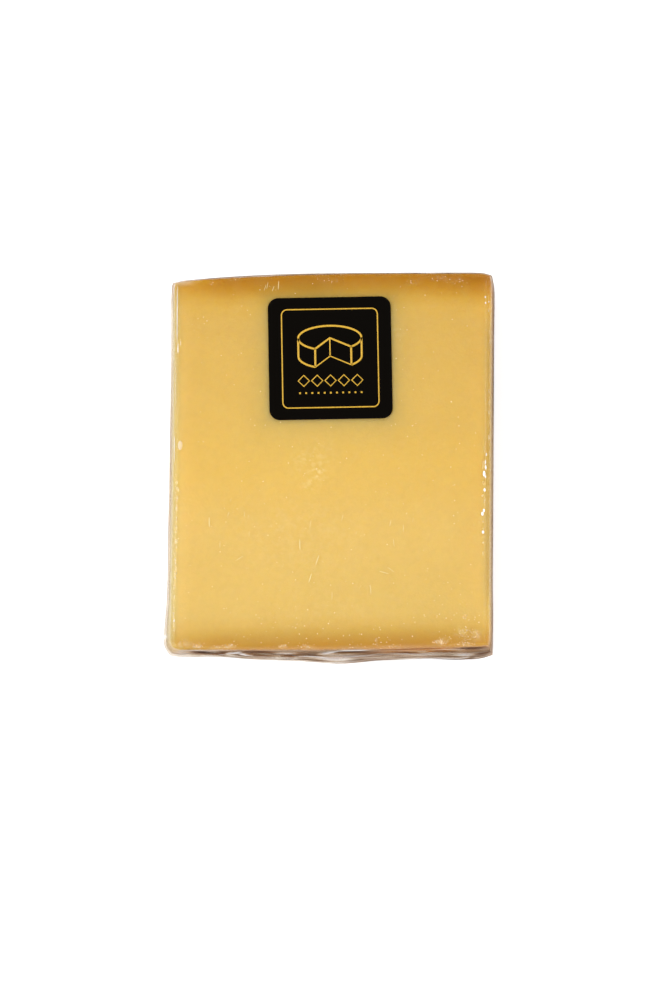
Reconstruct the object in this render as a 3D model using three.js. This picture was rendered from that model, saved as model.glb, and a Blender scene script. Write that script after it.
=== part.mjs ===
/*
A slab of hard cheese, cut across the wheel and sealed in tight clear film, lying on one of its large
cut faces with a square sticker on the other. The block is one solid out to the film: its long edges
are the cut sides, and its short edges are the rinds of the wheel's two flat faces.

Lengths are in millimetres. +Z is up, +Y points to the rind nearer to the sticker, and the origin is
the centre of the underside.
*/
import * as THREE from 'three';

// Block, measured at the edge of its upper face
const THICKNESS = 22;
const WIDTH = 90.5;
const RIND_TO_RIND = 107.4;
const CORNER_RADIUS = 3.4;
const RIM_RADIUS = 2.0;
const FOOT_RADIUS = 2.4;

// How near each corner is to a square one, from 0 for round to 1 for square
const CORNERS = [
  { x: 1, y: 1, squareness: 0.6 },
  { x: -1, y: 1, squareness: 0.75 },
  { x: -1, y: -1, squareness: 0.2 },
  { x: 1, y: -1, squareness: 0.65 },
];

// Unevenness of the four edges
const LEFT_SPREAD = 0.95;
const RIGHT_TAPER = 0.95;
const FAR_CREST_X = 28;
const FAR_CORNER_DROP = 2.4;
const FAR_DROP_POWER = 2.6;
const NEAR_CORNER_RISE = 1.3;
const NEAR_RISE_POWER = 2.8;

// How far the film stands out round the foot of each side
const SIDE_REACH = 1.9;
const FAR_REACH = 1.5;
const NEAR_REACH_LEFT = 0.7;
const NEAR_REACH_RIGHT = 2.0;
const NEAR_TUCK_REACH = 0.8;
const NEAR_TUCK_X = 2;
const NEAR_TUCK_WIDTH = 9;
const SIDE_BELLY = 1.6;

// Gathers in the film, strongest at the foot
const GATHER_DEPTH = 0.3;
const GATHER_LENGTH = 13;
const SECOND_GATHER_LENGTH = 21;

// Shallow dips pressed into the upper face: centre, radius and depth
const DIPS = [
  { x: -33, y: -34, radius: 15, depth: 0.25 },
  { x: 31, y: -36, radius: 17, depth: 0.35 },
  { x: 36, y: 8, radius: 14, depth: 0.2 },
  { x: -37, y: 30, radius: 12, depth: 0.2 },
];

// Sticker
const LABEL_SIDE = 35;
const LABEL_CORNER_RADIUS = 3;
const LABEL_THICKNESS = 0.25;
const LABEL_X = -0.8;
const LABEL_Y = 29.3;
const LABEL_TURN = 1.05;

// Fineness of the mesh
const STATION_SPACING = 3;
const CORNER_STEPS = 6;
const ROUNDING_STEPS = 4;
const SIDE_STEPS = 5;
const FACE_RINGS = [0.95, 0.89, 0.81, 0.7, 0.56, 0.4, 0.2];
const LABEL_CURVE_STEPS = 5;

// Finishes
const CHEESE_COLOUR = '#ecc36a';
const LABEL_COLOUR = '#0e0c08';

const { lerp, smoothstep, degToRad } = THREE.MathUtils;

// The way out from a corner's centre: between a circle's point and a square's at the same angle.
function wayOut(angle, squareness) {
  const round = new THREE.Vector2(Math.cos(angle), Math.sin(angle));
  const square = round.clone().divideScalar(Math.max(Math.abs(round.x), Math.abs(round.y)));
  return round.lerp(square, squareness);
}

// Stations round the plain rectangle, anticlockwise: a point inside the edge and the way out from it.
function edgeStations() {
  const halfX = WIDTH / 2 - CORNER_RADIUS;
  const halfY = RIND_TO_RIND / 2 - CORNER_RADIUS;
  const centres = CORNERS.map(({ x, y }) => new THREE.Vector2(x * halfX, y * halfY));
  const stations = [];
  centres.forEach((centre, quarter) => {
    const next = centres[(quarter + 1) % centres.length];
    const turn = (quarter * Math.PI) / 2;
    const { squareness } = CORNERS[quarter];
    for (let step = 0; step < CORNER_STEPS; step += 1) {
      const angle = turn + ((step / CORNER_STEPS) * Math.PI) / 2;
      stations.push({ inside: centre, angle, out: wayOut(angle, squareness) });
    }
    const steps = Math.round(centre.distanceTo(next) / STATION_SPACING);
    const straight = turn + Math.PI / 2;
    for (let step = 0; step < steps; step += 1) {
      const inside = centre.clone().lerp(next, step / steps);
      stations.push({ inside, angle: straight, out: wayOut(straight, 0) });
    }
  });
  return stations;
}

// Bends the plain rectangle to the slab's own four edges.
function toOutline(x, y) {
  const down = 0.5 - y / RIND_TO_RIND;
  const left = -WIDTH / 2 - LEFT_SPREAD * Math.max(down, 0) ** 2;
  const right = WIDTH / 2 - RIGHT_TAPER * down;
  const fromCrest = Math.max((FAR_CREST_X - x) / (FAR_CREST_X + WIDTH / 2), 0);
  const far = RIND_TO_RIND / 2 - FAR_CORNER_DROP * fromCrest ** FAR_DROP_POWER;
  const toRight = Math.max(x / (WIDTH / 2), 0);
  const near = -RIND_TO_RIND / 2 + NEAR_CORNER_RISE * toRight ** NEAR_RISE_POWER;
  return new THREE.Vector2(lerp(left, right, x / WIDTH + 0.5), lerp(far, near, down));
}

// How far the film stands out at the foot, by the side that the station looks to.
function footReach(x, y, angle) {
  const across = Math.cos(angle) ** 2;
  const tuck = NEAR_TUCK_REACH * Math.exp(-(((x - NEAR_TUCK_X) / NEAR_TUCK_WIDTH) ** 2));
  const near = lerp(NEAR_REACH_LEFT, NEAR_REACH_RIGHT, smoothstep(x, -WIDTH / 2, WIDTH / 10)) + tuck;
  const endReach = Math.sin(angle) > 0 ? FAR_REACH : near;
  const along = x - y;
  const first = Math.sin((2 * Math.PI * along) / GATHER_LENGTH);
  const second = Math.sin((2 * Math.PI * along) / SECOND_GATHER_LENGTH + 1);
  return across * SIDE_REACH + (1 - across) * endReach + (GATHER_DEPTH * (first + second)) / 2;
}

// How far the upper face is pressed in at a point.
function dipAt(x, y) {
  const fall = DIPS.map((dip) => {
    const away = Math.hypot(x - dip.x, y - dip.y) / dip.radius;
    return dip.depth * (1 - smoothstep(away, 0, 1));
  });
  return Math.max(...fall);
}

// Levels of the side from the foot to the rim: share of the foot's reach, inset and height.
function sideLevels() {
  const levels = [];
  for (let step = 0; step <= ROUNDING_STEPS; step += 1) {
    const a = ((step / ROUNDING_STEPS) * Math.PI) / 2;
    levels.push({ share: 1, inset: FOOT_RADIUS * (1 - Math.sin(a)), z: FOOT_RADIUS * (1 - Math.cos(a)) });
  }
  const top = THICKNESS - RIM_RADIUS;
  for (let step = 1; step <= SIDE_STEPS; step += 1) {
    const up = step / SIDE_STEPS;
    levels.push({ share: 1 - up ** SIDE_BELLY, inset: 0, z: lerp(FOOT_RADIUS, top, up) });
  }
  for (let step = 1; step <= ROUNDING_STEPS; step += 1) {
    const a = ((step / ROUNDING_STEPS) * Math.PI) / 2;
    levels.push({ share: 0, inset: RIM_RADIUS * (1 - Math.cos(a)), z: top + RIM_RADIUS * Math.sin(a) });
  }
  return levels;
}

// One ring of corners for a level of the side.
function sideRing(stations, level) {
  return stations.map(({ inside, angle, out }) => {
    const reach = footReach(inside.x, inside.y, angle) * level.share;
    const plain = out.clone().multiplyScalar(CORNER_RADIUS + reach - level.inset).add(inside);
    const point = toOutline(plain.x, plain.y);
    return new THREE.Vector3(point.x, point.y, level.z);
  });
}

// One ring of corners on the upper face, the rim drawn towards the middle.
function faceRing(stations, scale) {
  return stations.map(({ inside, out }) => {
    const plain = out.clone().multiplyScalar(CORNER_RADIUS - RIM_RADIUS).add(inside);
    const point = toOutline(plain.x * scale, plain.y * scale);
    return new THREE.Vector3(point.x, point.y, THICKNESS - dipAt(point.x, point.y));
  });
}

// A closed skin through rings stacked from the underside up, with a middle point at each end.
function skinRings(rings, bottom, top) {
  const count = rings[0].length;
  const corners = [bottom, ...rings.flat(), top];
  const at = (ring, k) => 1 + ring * count + (k % count);
  const faces = [];
  for (let k = 0; k < count; k += 1) {
    faces.push(0, at(0, k + 1), at(0, k));
    for (let ring = 0; ring + 1 < rings.length; ring += 1) {
      faces.push(at(ring, k), at(ring, k + 1), at(ring + 1, k + 1));
      faces.push(at(ring, k), at(ring + 1, k + 1), at(ring + 1, k));
    }
    faces.push(at(rings.length - 1, k), at(rings.length - 1, k + 1), corners.length - 1);
  }
  const geometry = new THREE.BufferGeometry().setFromPoints(corners);
  geometry.setIndex(faces);
  geometry.computeVertexNormals();
  return geometry;
}

// The sealed block: underside, side with its foot and rim, and dipped upper face.
function makeBlock() {
  const stations = edgeStations();
  const side = sideLevels().map((level) => sideRing(stations, level));
  const face = FACE_RINGS.map((scale) => faceRing(stations, scale));
  const geometry = skinRings(
    [...side, ...face],
    new THREE.Vector3(0, 0, 0),
    new THREE.Vector3(0, 0, THICKNESS),
  );
  const finish = new THREE.MeshStandardMaterial({ color: CHEESE_COLOUR, roughness: 0.35, metalness: 0 });
  const block = new THREE.Mesh(geometry, finish);
  block.name = 'wrapped_cheese';
  return block;
}

// The sticker: a thin square plate with round corners, turned a little, flat on the upper face.
function makeLabel() {
  const half = LABEL_SIDE / 2;
  const core = half - LABEL_CORNER_RADIUS;
  const outline = new THREE.Shape();
  [[1, 1], [-1, 1], [-1, -1], [1, -1]].forEach(([x, y], quarter) => {
    const start = (quarter * Math.PI) / 2;
    outline.absarc(x * core, y * core, LABEL_CORNER_RADIUS, start, start + Math.PI / 2, false);
  });
  const geometry = new THREE.ExtrudeGeometry(outline, {
    depth: LABEL_THICKNESS,
    bevelEnabled: false,
    curveSegments: LABEL_CURVE_STEPS,
  });
  const finish = new THREE.MeshStandardMaterial({ color: LABEL_COLOUR, roughness: 0.4, metalness: 0 });
  const label = new THREE.Mesh(geometry, finish);
  label.name = 'label';
  label.position.set(LABEL_X, LABEL_Y, THICKNESS);
  label.rotation.z = degToRad(LABEL_TURN);
  return label;
}

const group = new THREE.Group();
group.add(makeBlock(), makeLabel());

// The origin goes under the middle of the block.
const middle = new THREE.Box3().setFromObject(group).getCenter(new THREE.Vector3());
group.position.set(-middle.x, -middle.y, 0);

export default group;
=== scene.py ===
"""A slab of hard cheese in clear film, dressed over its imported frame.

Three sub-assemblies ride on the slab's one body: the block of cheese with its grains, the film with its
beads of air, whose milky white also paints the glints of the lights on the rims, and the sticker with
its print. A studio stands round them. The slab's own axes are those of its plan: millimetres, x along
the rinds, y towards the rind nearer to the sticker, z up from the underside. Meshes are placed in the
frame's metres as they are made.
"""

import logging
import math
from dataclasses import dataclass, field
from enum import Enum
from typing import Any

import bpy
import numpy as np
from mathutils import Matrix, Vector


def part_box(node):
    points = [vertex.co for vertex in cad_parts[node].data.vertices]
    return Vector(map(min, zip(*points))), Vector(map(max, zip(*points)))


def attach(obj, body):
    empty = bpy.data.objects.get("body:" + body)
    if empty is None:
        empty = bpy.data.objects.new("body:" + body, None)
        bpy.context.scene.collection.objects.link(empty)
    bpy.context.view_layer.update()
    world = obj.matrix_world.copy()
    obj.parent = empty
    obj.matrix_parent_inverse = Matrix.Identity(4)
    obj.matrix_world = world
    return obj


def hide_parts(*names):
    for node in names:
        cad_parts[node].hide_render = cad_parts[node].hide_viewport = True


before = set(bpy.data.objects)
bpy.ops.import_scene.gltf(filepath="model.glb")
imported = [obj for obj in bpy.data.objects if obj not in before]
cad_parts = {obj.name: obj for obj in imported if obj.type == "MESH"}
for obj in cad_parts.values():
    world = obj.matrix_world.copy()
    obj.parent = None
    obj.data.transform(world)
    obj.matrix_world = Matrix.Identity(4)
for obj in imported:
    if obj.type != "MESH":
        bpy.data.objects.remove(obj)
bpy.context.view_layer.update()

Array = np.ndarray
Socket = bpy.types.NodeSocket
MM = 0.001
BLOCK = "wrapped_cheese"
LABEL = "label"
log = logging.getLogger("cheese")


def srgb(code: str) -> tuple[float, float, float, float]:
    """Turns an sRGB hex colour into linear red, green, blue and alpha.

    Args:
        code: Six hex digits after a hash sign.

    Returns:
        The linear colour with an alpha of 1.
    """
    values = [int(code[i : i + 2], 16) / 255 for i in (1, 3, 5)]
    linear = [v / 12.92 if v <= 0.04045 else ((v + 0.055) / 1.055) ** 2.4 for v in values]
    return (*linear, 1.0)


def add_node(tree: Any, kind: str, settings: dict[str, Any] | None = None, **inputs: Any) -> Any:
    """Adds a node with its settings, and sets or links its inputs.

    Args:
        tree: The node tree to add to.
        kind: The node's type name.
        settings: Properties of the node itself.
        **inputs: Input names, with underscores for spaces, or i0, i1 for inputs by number. A value is
            an output socket to link, or the input's own value.

    Returns:
        The new node.
    """
    node = tree.nodes.new(kind)
    for name, value in (settings or {}).items():
        setattr(node, name, value)
    for name, value in inputs.items():
        by_number = name[0] == "i" and name[1:].isdigit()
        socket = node.inputs[int(name[1:]) if by_number else name.replace("_", " ")]
        if isinstance(value, Socket):
            tree.links.new(value, socket)
        else:
            socket.default_value = value
    return node


def result(tree: Any, kind: str, settings: dict[str, Any] | None = None, **inputs: Any) -> Socket:
    """Adds a node as add_node does, and gives its first output."""
    return add_node(tree, kind, settings, **inputs).outputs[0]


def calculate(tree: Any, operation: str, *values: Any, clamp: bool = False) -> Socket:
    """The result of a math node on numbers or sockets."""
    inputs = {f"i{k}": value for k, value in enumerate(values)}
    return result(tree, "ShaderNodeMath", {"operation": operation, "use_clamp": clamp}, **inputs)


def vectors(tree: Any, operation: str, **inputs: Any) -> Socket:
    """The result of a vector math node."""
    return result(tree, "ShaderNodeVectorMath", {"operation": operation}, **inputs)


def remap(
    tree: Any, value: Socket, old: tuple[float, float], new: tuple[float, float], soft: bool = False
) -> Socket:
    """Carries a value from an old range to a new one and keeps it there.

    Args:
        tree: The node tree to add to.
        value: The value's socket.
        old: The range that counts.
        new: Where its ends go.
        soft: True to ease in and out at the ends.

    Returns:
        The new value's socket.
    """
    return result(
        tree, "ShaderNodeMapRange", {"interpolation_type": "SMOOTHSTEP" if soft else "LINEAR"},
        i0=value, i1=old[0], i2=old[1], i3=new[0], i4=new[1],
    )


def noise(tree: Any, place: Socket, waves: Any, detail: float = 2.0, roughness: float = 0.5) -> Any:
    """Adds a noise.

    Args:
        tree: The node tree to add to.
        place: Places to lay it by.
        waves: How many of its waves a millimetre holds, as a number or a socket.
        detail: How many finer waves lie on them.
        roughness: How strong those are.

    Returns:
        The outputs: 0 is the noise's value and 1 its colour.
    """
    scale = calculate(tree, "DIVIDE", waves, MM) if isinstance(waves, Socket) else waves / MM
    return add_node(
        tree, "ShaderNodeTexNoise", Vector=place, Scale=scale, Detail=detail, Roughness=roughness
    ).outputs


def streaks(tree: Any, place: Socket, along: float, up: float, detail: float) -> Socket:
    """A noise drawn out to lying streaks: so many waves a millimetre holds along and up."""
    drawn_out = result(
        tree, "ShaderNodeMapping", Vector=place, Scale=(along / MM, along / MM, up / MM)
    )
    return result(
        tree, "ShaderNodeTexNoise", Vector=drawn_out, Scale=1.0, Detail=detail, Roughness=0.6
    )


def bumped(tree: Any, height: Socket, strength: float, depth: float) -> Socket:
    """The surface's direction as a bump of a depth in millimetres tilts it."""
    return result(tree, "ShaderNodeBump", Strength=strength, Distance=depth * MM, Height=height)


def blend(tree: Any, share: Any, first: Any, second: Any, multiply: bool = False) -> Socket:
    """A colour on the way from the first to the second, or to their product, by a share."""
    settings = {"data_type": "RGBA", "blend_type": "MULTIPLY" if multiply else "MIX"}
    return add_node(tree, "ShaderNodeMix", settings, i0=share, i6=first, i7=second).outputs[2]


def colour_ramp(tree: Any, share: Socket, stops: list[tuple[float, str]]) -> Socket:
    """The colour at a share of a ramp with the given places and sRGB colours."""
    node = add_node(tree, "ShaderNodeValToRGB", i0=share)
    elements = node.color_ramp.elements
    while len(elements) < len(stops):
        elements.new(1.0)
    for element, (place, code) in zip(elements, stops):
        element.position = place
        element.color = srgb(code)
    return node.outputs["Color"]


def painted(tree: Any, name: str) -> Socket:
    """The number that the mesh holds under a name, in a material."""
    return add_node(tree, "ShaderNodeAttribute", {"attribute_name": name}).outputs["Fac"]


def held(tree: Any, name: str) -> Socket:
    """The number that the mesh holds under a name, in a shape's tree."""
    return result(tree, "GeometryNodeInputNamedAttribute", {"data_type": "FLOAT"}, Name=name)


def add_object(name: str, data: Any) -> bpy.types.Object:
    """Puts an object with the given mesh, light or camera data in the scene."""
    made = bpy.data.objects.new(name, data)
    bpy.context.scene.collection.objects.link(made)
    return made


def smoothstep(value: Array, low: float, high: float) -> Array:
    """Rises smoothly from 0 at low to 1 at high."""
    t = np.clip((value - low) / (high - low), 0, 1)
    return t * t * (3 - 2 * t)


class Side(Enum):
    """The four sides of the slab, each by the way it faces, in degrees from +x."""

    RIGHT = 0
    FAR = 90
    LEFT = 180
    NEAR = 270

    @property
    def has_rind(self) -> bool:
        """True for the two sides that the wheel's rind covers, which run along x."""
        return self in (Side.FAR, Side.NEAR)

    def facing(self, angle: Array) -> Array:
        """How far directions in radians look to this side, from 0 to 1."""
        return np.clip(np.cos(angle - math.radians(self.value)), 0, 1) ** 2


def by_side(values: dict[Side, float], angle: Array) -> Array:
    """Blends one value for each side by how far a direction looks to that side."""
    return sum(value * side.facing(angle) for side, value in values.items())


def rind_share(angle: Array) -> Array:
    """How far directions look to the two sides that have a rind."""
    return sum(side.facing(angle) for side in Side if side.has_rind)


@dataclass
class Places:
    """Corners of a skin, in millimetres, with how the skin lies there."""

    x: Array
    y: Array
    z: Array
    angle: Array
    side: Array
    reach: Array

    @property
    def rows(self) -> Array:
        """The corners as rows of x, y and z."""
        return np.stack([self.x, self.y, self.z], axis=-1)

    @staticmethod
    def joined(parts: list["Places"]) -> "Places":
        """Joins several sets of corners into one."""
        names = ("x", "y", "z", "angle", "side", "reach")
        return Places(*(np.concatenate([getattr(part, name) for part in parts]) for name in names))


@dataclass(frozen=True)
class SlabPlan:
    """The slab's plan and profile as the frame has them, in millimetres."""

    thickness: float = 22.0
    width: float = 90.5
    rind_to_rind: float = 107.4
    corner_radius: float = 3.4
    far_right_squareness: float = 0.6
    far_left_squareness: float = 0.75
    near_left_squareness: float = 0.2
    near_right_squareness: float = 0.65
    foot_radius: float = 2.4
    left_spread: float = 0.95
    right_taper: float = 0.95
    far_crest_x: float = 28.0
    far_corner_drop: float = 2.4
    far_drop_power: float = 2.6
    near_corner_rise: float = 1.02
    near_rise_power: float = 1.35
    left_reach: float = 1.8
    left_flare: float = 0.8
    right_reach: float = 1.65
    far_reach: float = 1.5
    near_reach_left: float = 0.7
    near_reach_right: float = 2.0
    near_tuck_reach: float = 0.8
    near_tuck_x: float = 2.0
    near_tuck_width: float = 9.0
    near_gathers: tuple[tuple[float, float, float], ...] = (
        (-20.0, 7.0, 0.28),
        (-11.0, 5.0, 0.2),
        (39.0, 7.0, 0.3),
    )
    side_belly: float = 1.6
    label_x: float = -0.8
    label_y: float = 29.3

    @property
    def core(self) -> tuple[float, float]:
        """Half the width and depth between the centres of the corners."""
        return self.width / 2 - self.corner_radius, self.rind_to_rind / 2 - self.corner_radius

    def squareness(self, x: Array, y: Array) -> Array:
        """How near to a square one the corner of each quarter of the plan is."""
        far = np.where(x > 0, self.far_right_squareness, self.far_left_squareness)
        near = np.where(x > 0, self.near_right_squareness, self.near_left_squareness)
        return np.where(y > 0, far, near)

    def far_edge(self, x: Array) -> Array:
        """The y of the face's edge at the far rind."""
        away = np.clip((self.far_crest_x - x) / (self.far_crest_x + self.width / 2), 0, None)
        return self.rind_to_rind / 2 - self.far_corner_drop * away**self.far_drop_power

    def near_edge(self, x: Array) -> Array:
        """The y of the face's edge at the near rind."""
        shade_to_right = np.clip(x / (self.width / 2), 0, None)
        return -self.rind_to_rind / 2 + self.near_corner_rise * shade_to_right**self.near_rise_power

    def side_edges(self, y: Array) -> tuple[Array, Array]:
        """The x of the face's left and right edges."""
        down = 0.5 - y / self.rind_to_rind
        left = -self.width / 2 - self.left_spread * np.clip(down, 0, None) ** 2
        return left, self.width / 2 - self.right_taper * down

    def behind(self, x: Array, y: Array) -> dict[Side, Array]:
        """How far places on the face lie behind each of its edges."""
        left, right = self.side_edges(y)
        far, near = self.far_edge(x) - y, y - self.near_edge(x)
        return {Side.RIGHT: right - x, Side.FAR: far, Side.LEFT: x - left, Side.NEAR: near}

    def outline(self, x: Array, y: Array) -> tuple[Array, Array]:
        """Bends the plain rectangle to the slab's own four edges.

        Args:
            x: Places across the plain rectangle.
            y: Places along it.

        Returns:
            The bent x and y.
        """
        left, right = self.side_edges(y)
        far, near = self.far_edge(x), self.near_edge(x)
        across, down = x / self.width + 0.5, 0.5 - y / self.rind_to_rind
        return left + (right - left) * across, far + (near - far) * down

    def foot_reach(self, x: Array, y: Array, angle: Array) -> Array:
        """How far the film stands out at the foot, by where the side is and the way it faces."""
        tucks = ((self.near_tuck_x, self.near_tuck_width, self.near_tuck_reach), *self.near_gathers)
        tuck = sum(reach * np.exp(-(((x - place) / width) ** 2)) for place, width, reach in tucks)
        rise = smoothstep(x, -self.width / 2, self.width / 10)
        near = self.near_reach_left + (self.near_reach_right - self.near_reach_left) * rise + tuck
        left = self.left_reach + self.left_flare * smoothstep(-y, self.rind_to_rind / 3, self.core[1])
        return (
            Side.RIGHT.facing(angle) * self.right_reach
            + Side.FAR.facing(angle) * self.far_reach
            + Side.LEFT.facing(angle) * left
            + Side.NEAR.facing(angle) * near
        )

    @property
    def shift(self) -> Vector:
        """The way from the slab's own origin to the frame's, in metres, as the sticker shows it."""
        low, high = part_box(LABEL)
        middle = (low + high) / 2
        return Vector((middle.x - self.label_x * MM, middle.y - self.label_y * MM, 0.0))

    def placed(self, rows: Array) -> Array:
        """Moves rows of x, y and z from the slab's own axes to the frame, in metres."""
        return rows * MM + np.array(self.shift)


@dataclass(frozen=True)
class Patch:
    """A soft-edged oval on the upper face, in millimetres, with its strength in the middle."""

    x: float
    y: float
    half_x: float
    half_y: float
    strength: float

    def at(self, x: Array, y: Array) -> Array:
        """The patch's strength at places on the face."""
        away = np.hypot((x - self.x) / self.half_x, (y - self.y) / self.half_y)
        return self.strength * (1 - smoothstep(away, 0, 1))


def added_up(patches: tuple[Patch, ...], at: Places) -> Array:
    """The strengths of all patches together."""
    return sum(patch.at(at.x, at.y) for patch in patches)


def strongest(patches: tuple[Patch, ...], at: Places) -> Array:
    """The strength of whichever patch is strongest there."""
    return np.maximum.reduce([patch.at(at.x, at.y) for patch in patches])


def rim_glow(rims: dict[Side, tuple[float, float]], behind: dict[Side, Array], power: int) -> Array:
    """Adds up what falls off behind the rims.

    Args:
        rims: Strength at each rim, and the reach in millimetres over which it falls off.
        behind: How far the places lie behind each edge.
        power: 1 for a sharp crest at the rim, 2 for a round one.

    Returns:
        The strengths together.
    """
    return sum(
        strength * np.exp(-((np.clip(behind[side], 0, None) / reach) ** power))
        for side, (strength, reach) in rims.items()
    )


# Dips pressed into the upper face, by their depth.
DIPS = (
    Patch(-33, -34, 15, 15, 0.25),
    Patch(31, -36, 17, 17, 0.35),
    Patch(36, 8, 14, 14, 0.2),
    Patch(-37, 30, 12, 12, 0.2),
)


class ShapeTree:
    """A Geometry Nodes tree with named sizes, which grows plain meshes."""

    def __init__(self, name: str, sizes: dict[str, float]) -> None:
        """Starts the tree.

        Args:
            name: Name of the tree.
            sizes: The tree's named inputs and their values. A whole number makes a whole input.
        """
        self.tree = bpy.data.node_groups.new(name, "GeometryNodeTree")
        self.sizes = sizes
        sockets = self.tree.interface
        sockets.new_socket("Geometry", in_out="OUTPUT", socket_type="NodeSocketGeometry")
        sockets.new_socket("Geometry", in_out="INPUT", socket_type="NodeSocketGeometry")
        self.identifiers = {}
        for label, value in sizes.items():
            kind = "NodeSocketInt" if isinstance(value, int) else "NodeSocketFloat"
            self.identifiers[label] = sockets.new_socket(label, in_out="INPUT", socket_type=kind).identifier
        self.start = add_node(self.tree, "NodeGroupInput").outputs

    def end(self, geometry: Socket, material: bpy.types.Material) -> None:
        """Ends the tree: instances become real, and the result is dressed."""
        real = result(self.tree, "GeometryNodeRealizeInstances", Geometry=geometry)
        smooth = result(self.tree, "GeometryNodeSetShadeSmooth", Geometry=real)
        dressed = result(self.tree, "GeometryNodeSetMaterial", Geometry=smooth, Material=material)
        add_node(self.tree, "NodeGroupOutput", Geometry=dressed)

    def grow(self, name: str, base: bpy.types.Mesh) -> bpy.types.Object:
        """Runs the tree on a mesh and keeps the result.

        Args:
            name: Name of the new piece.
            base: The mesh that the tree starts from.

        Returns:
            An object at the origin, with a plain mesh and no modifier.
        """
        holder = add_object(name, base)
        modifier = holder.modifiers.new(self.tree.name, "NODES")
        modifier.node_group = self.tree
        for label, value in self.sizes.items():
            modifier[self.identifiers[label]] = value
        evaluated = holder.evaluated_get(bpy.context.evaluated_depsgraph_get())
        mesh = bpy.data.meshes.new_from_object(evaluated)
        bpy.data.objects.remove(holder)
        return add_object(name, mesh)


def mark(mesh: bpy.types.Mesh, name: str, values: Array) -> None:
    """Stores one number for each corner of a mesh as an attribute."""
    layer = mesh.attributes.new(name, "FLOAT", "POINT")
    layer.data.foreach_set("value", np.ascontiguousarray(values, dtype=np.float32))


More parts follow.
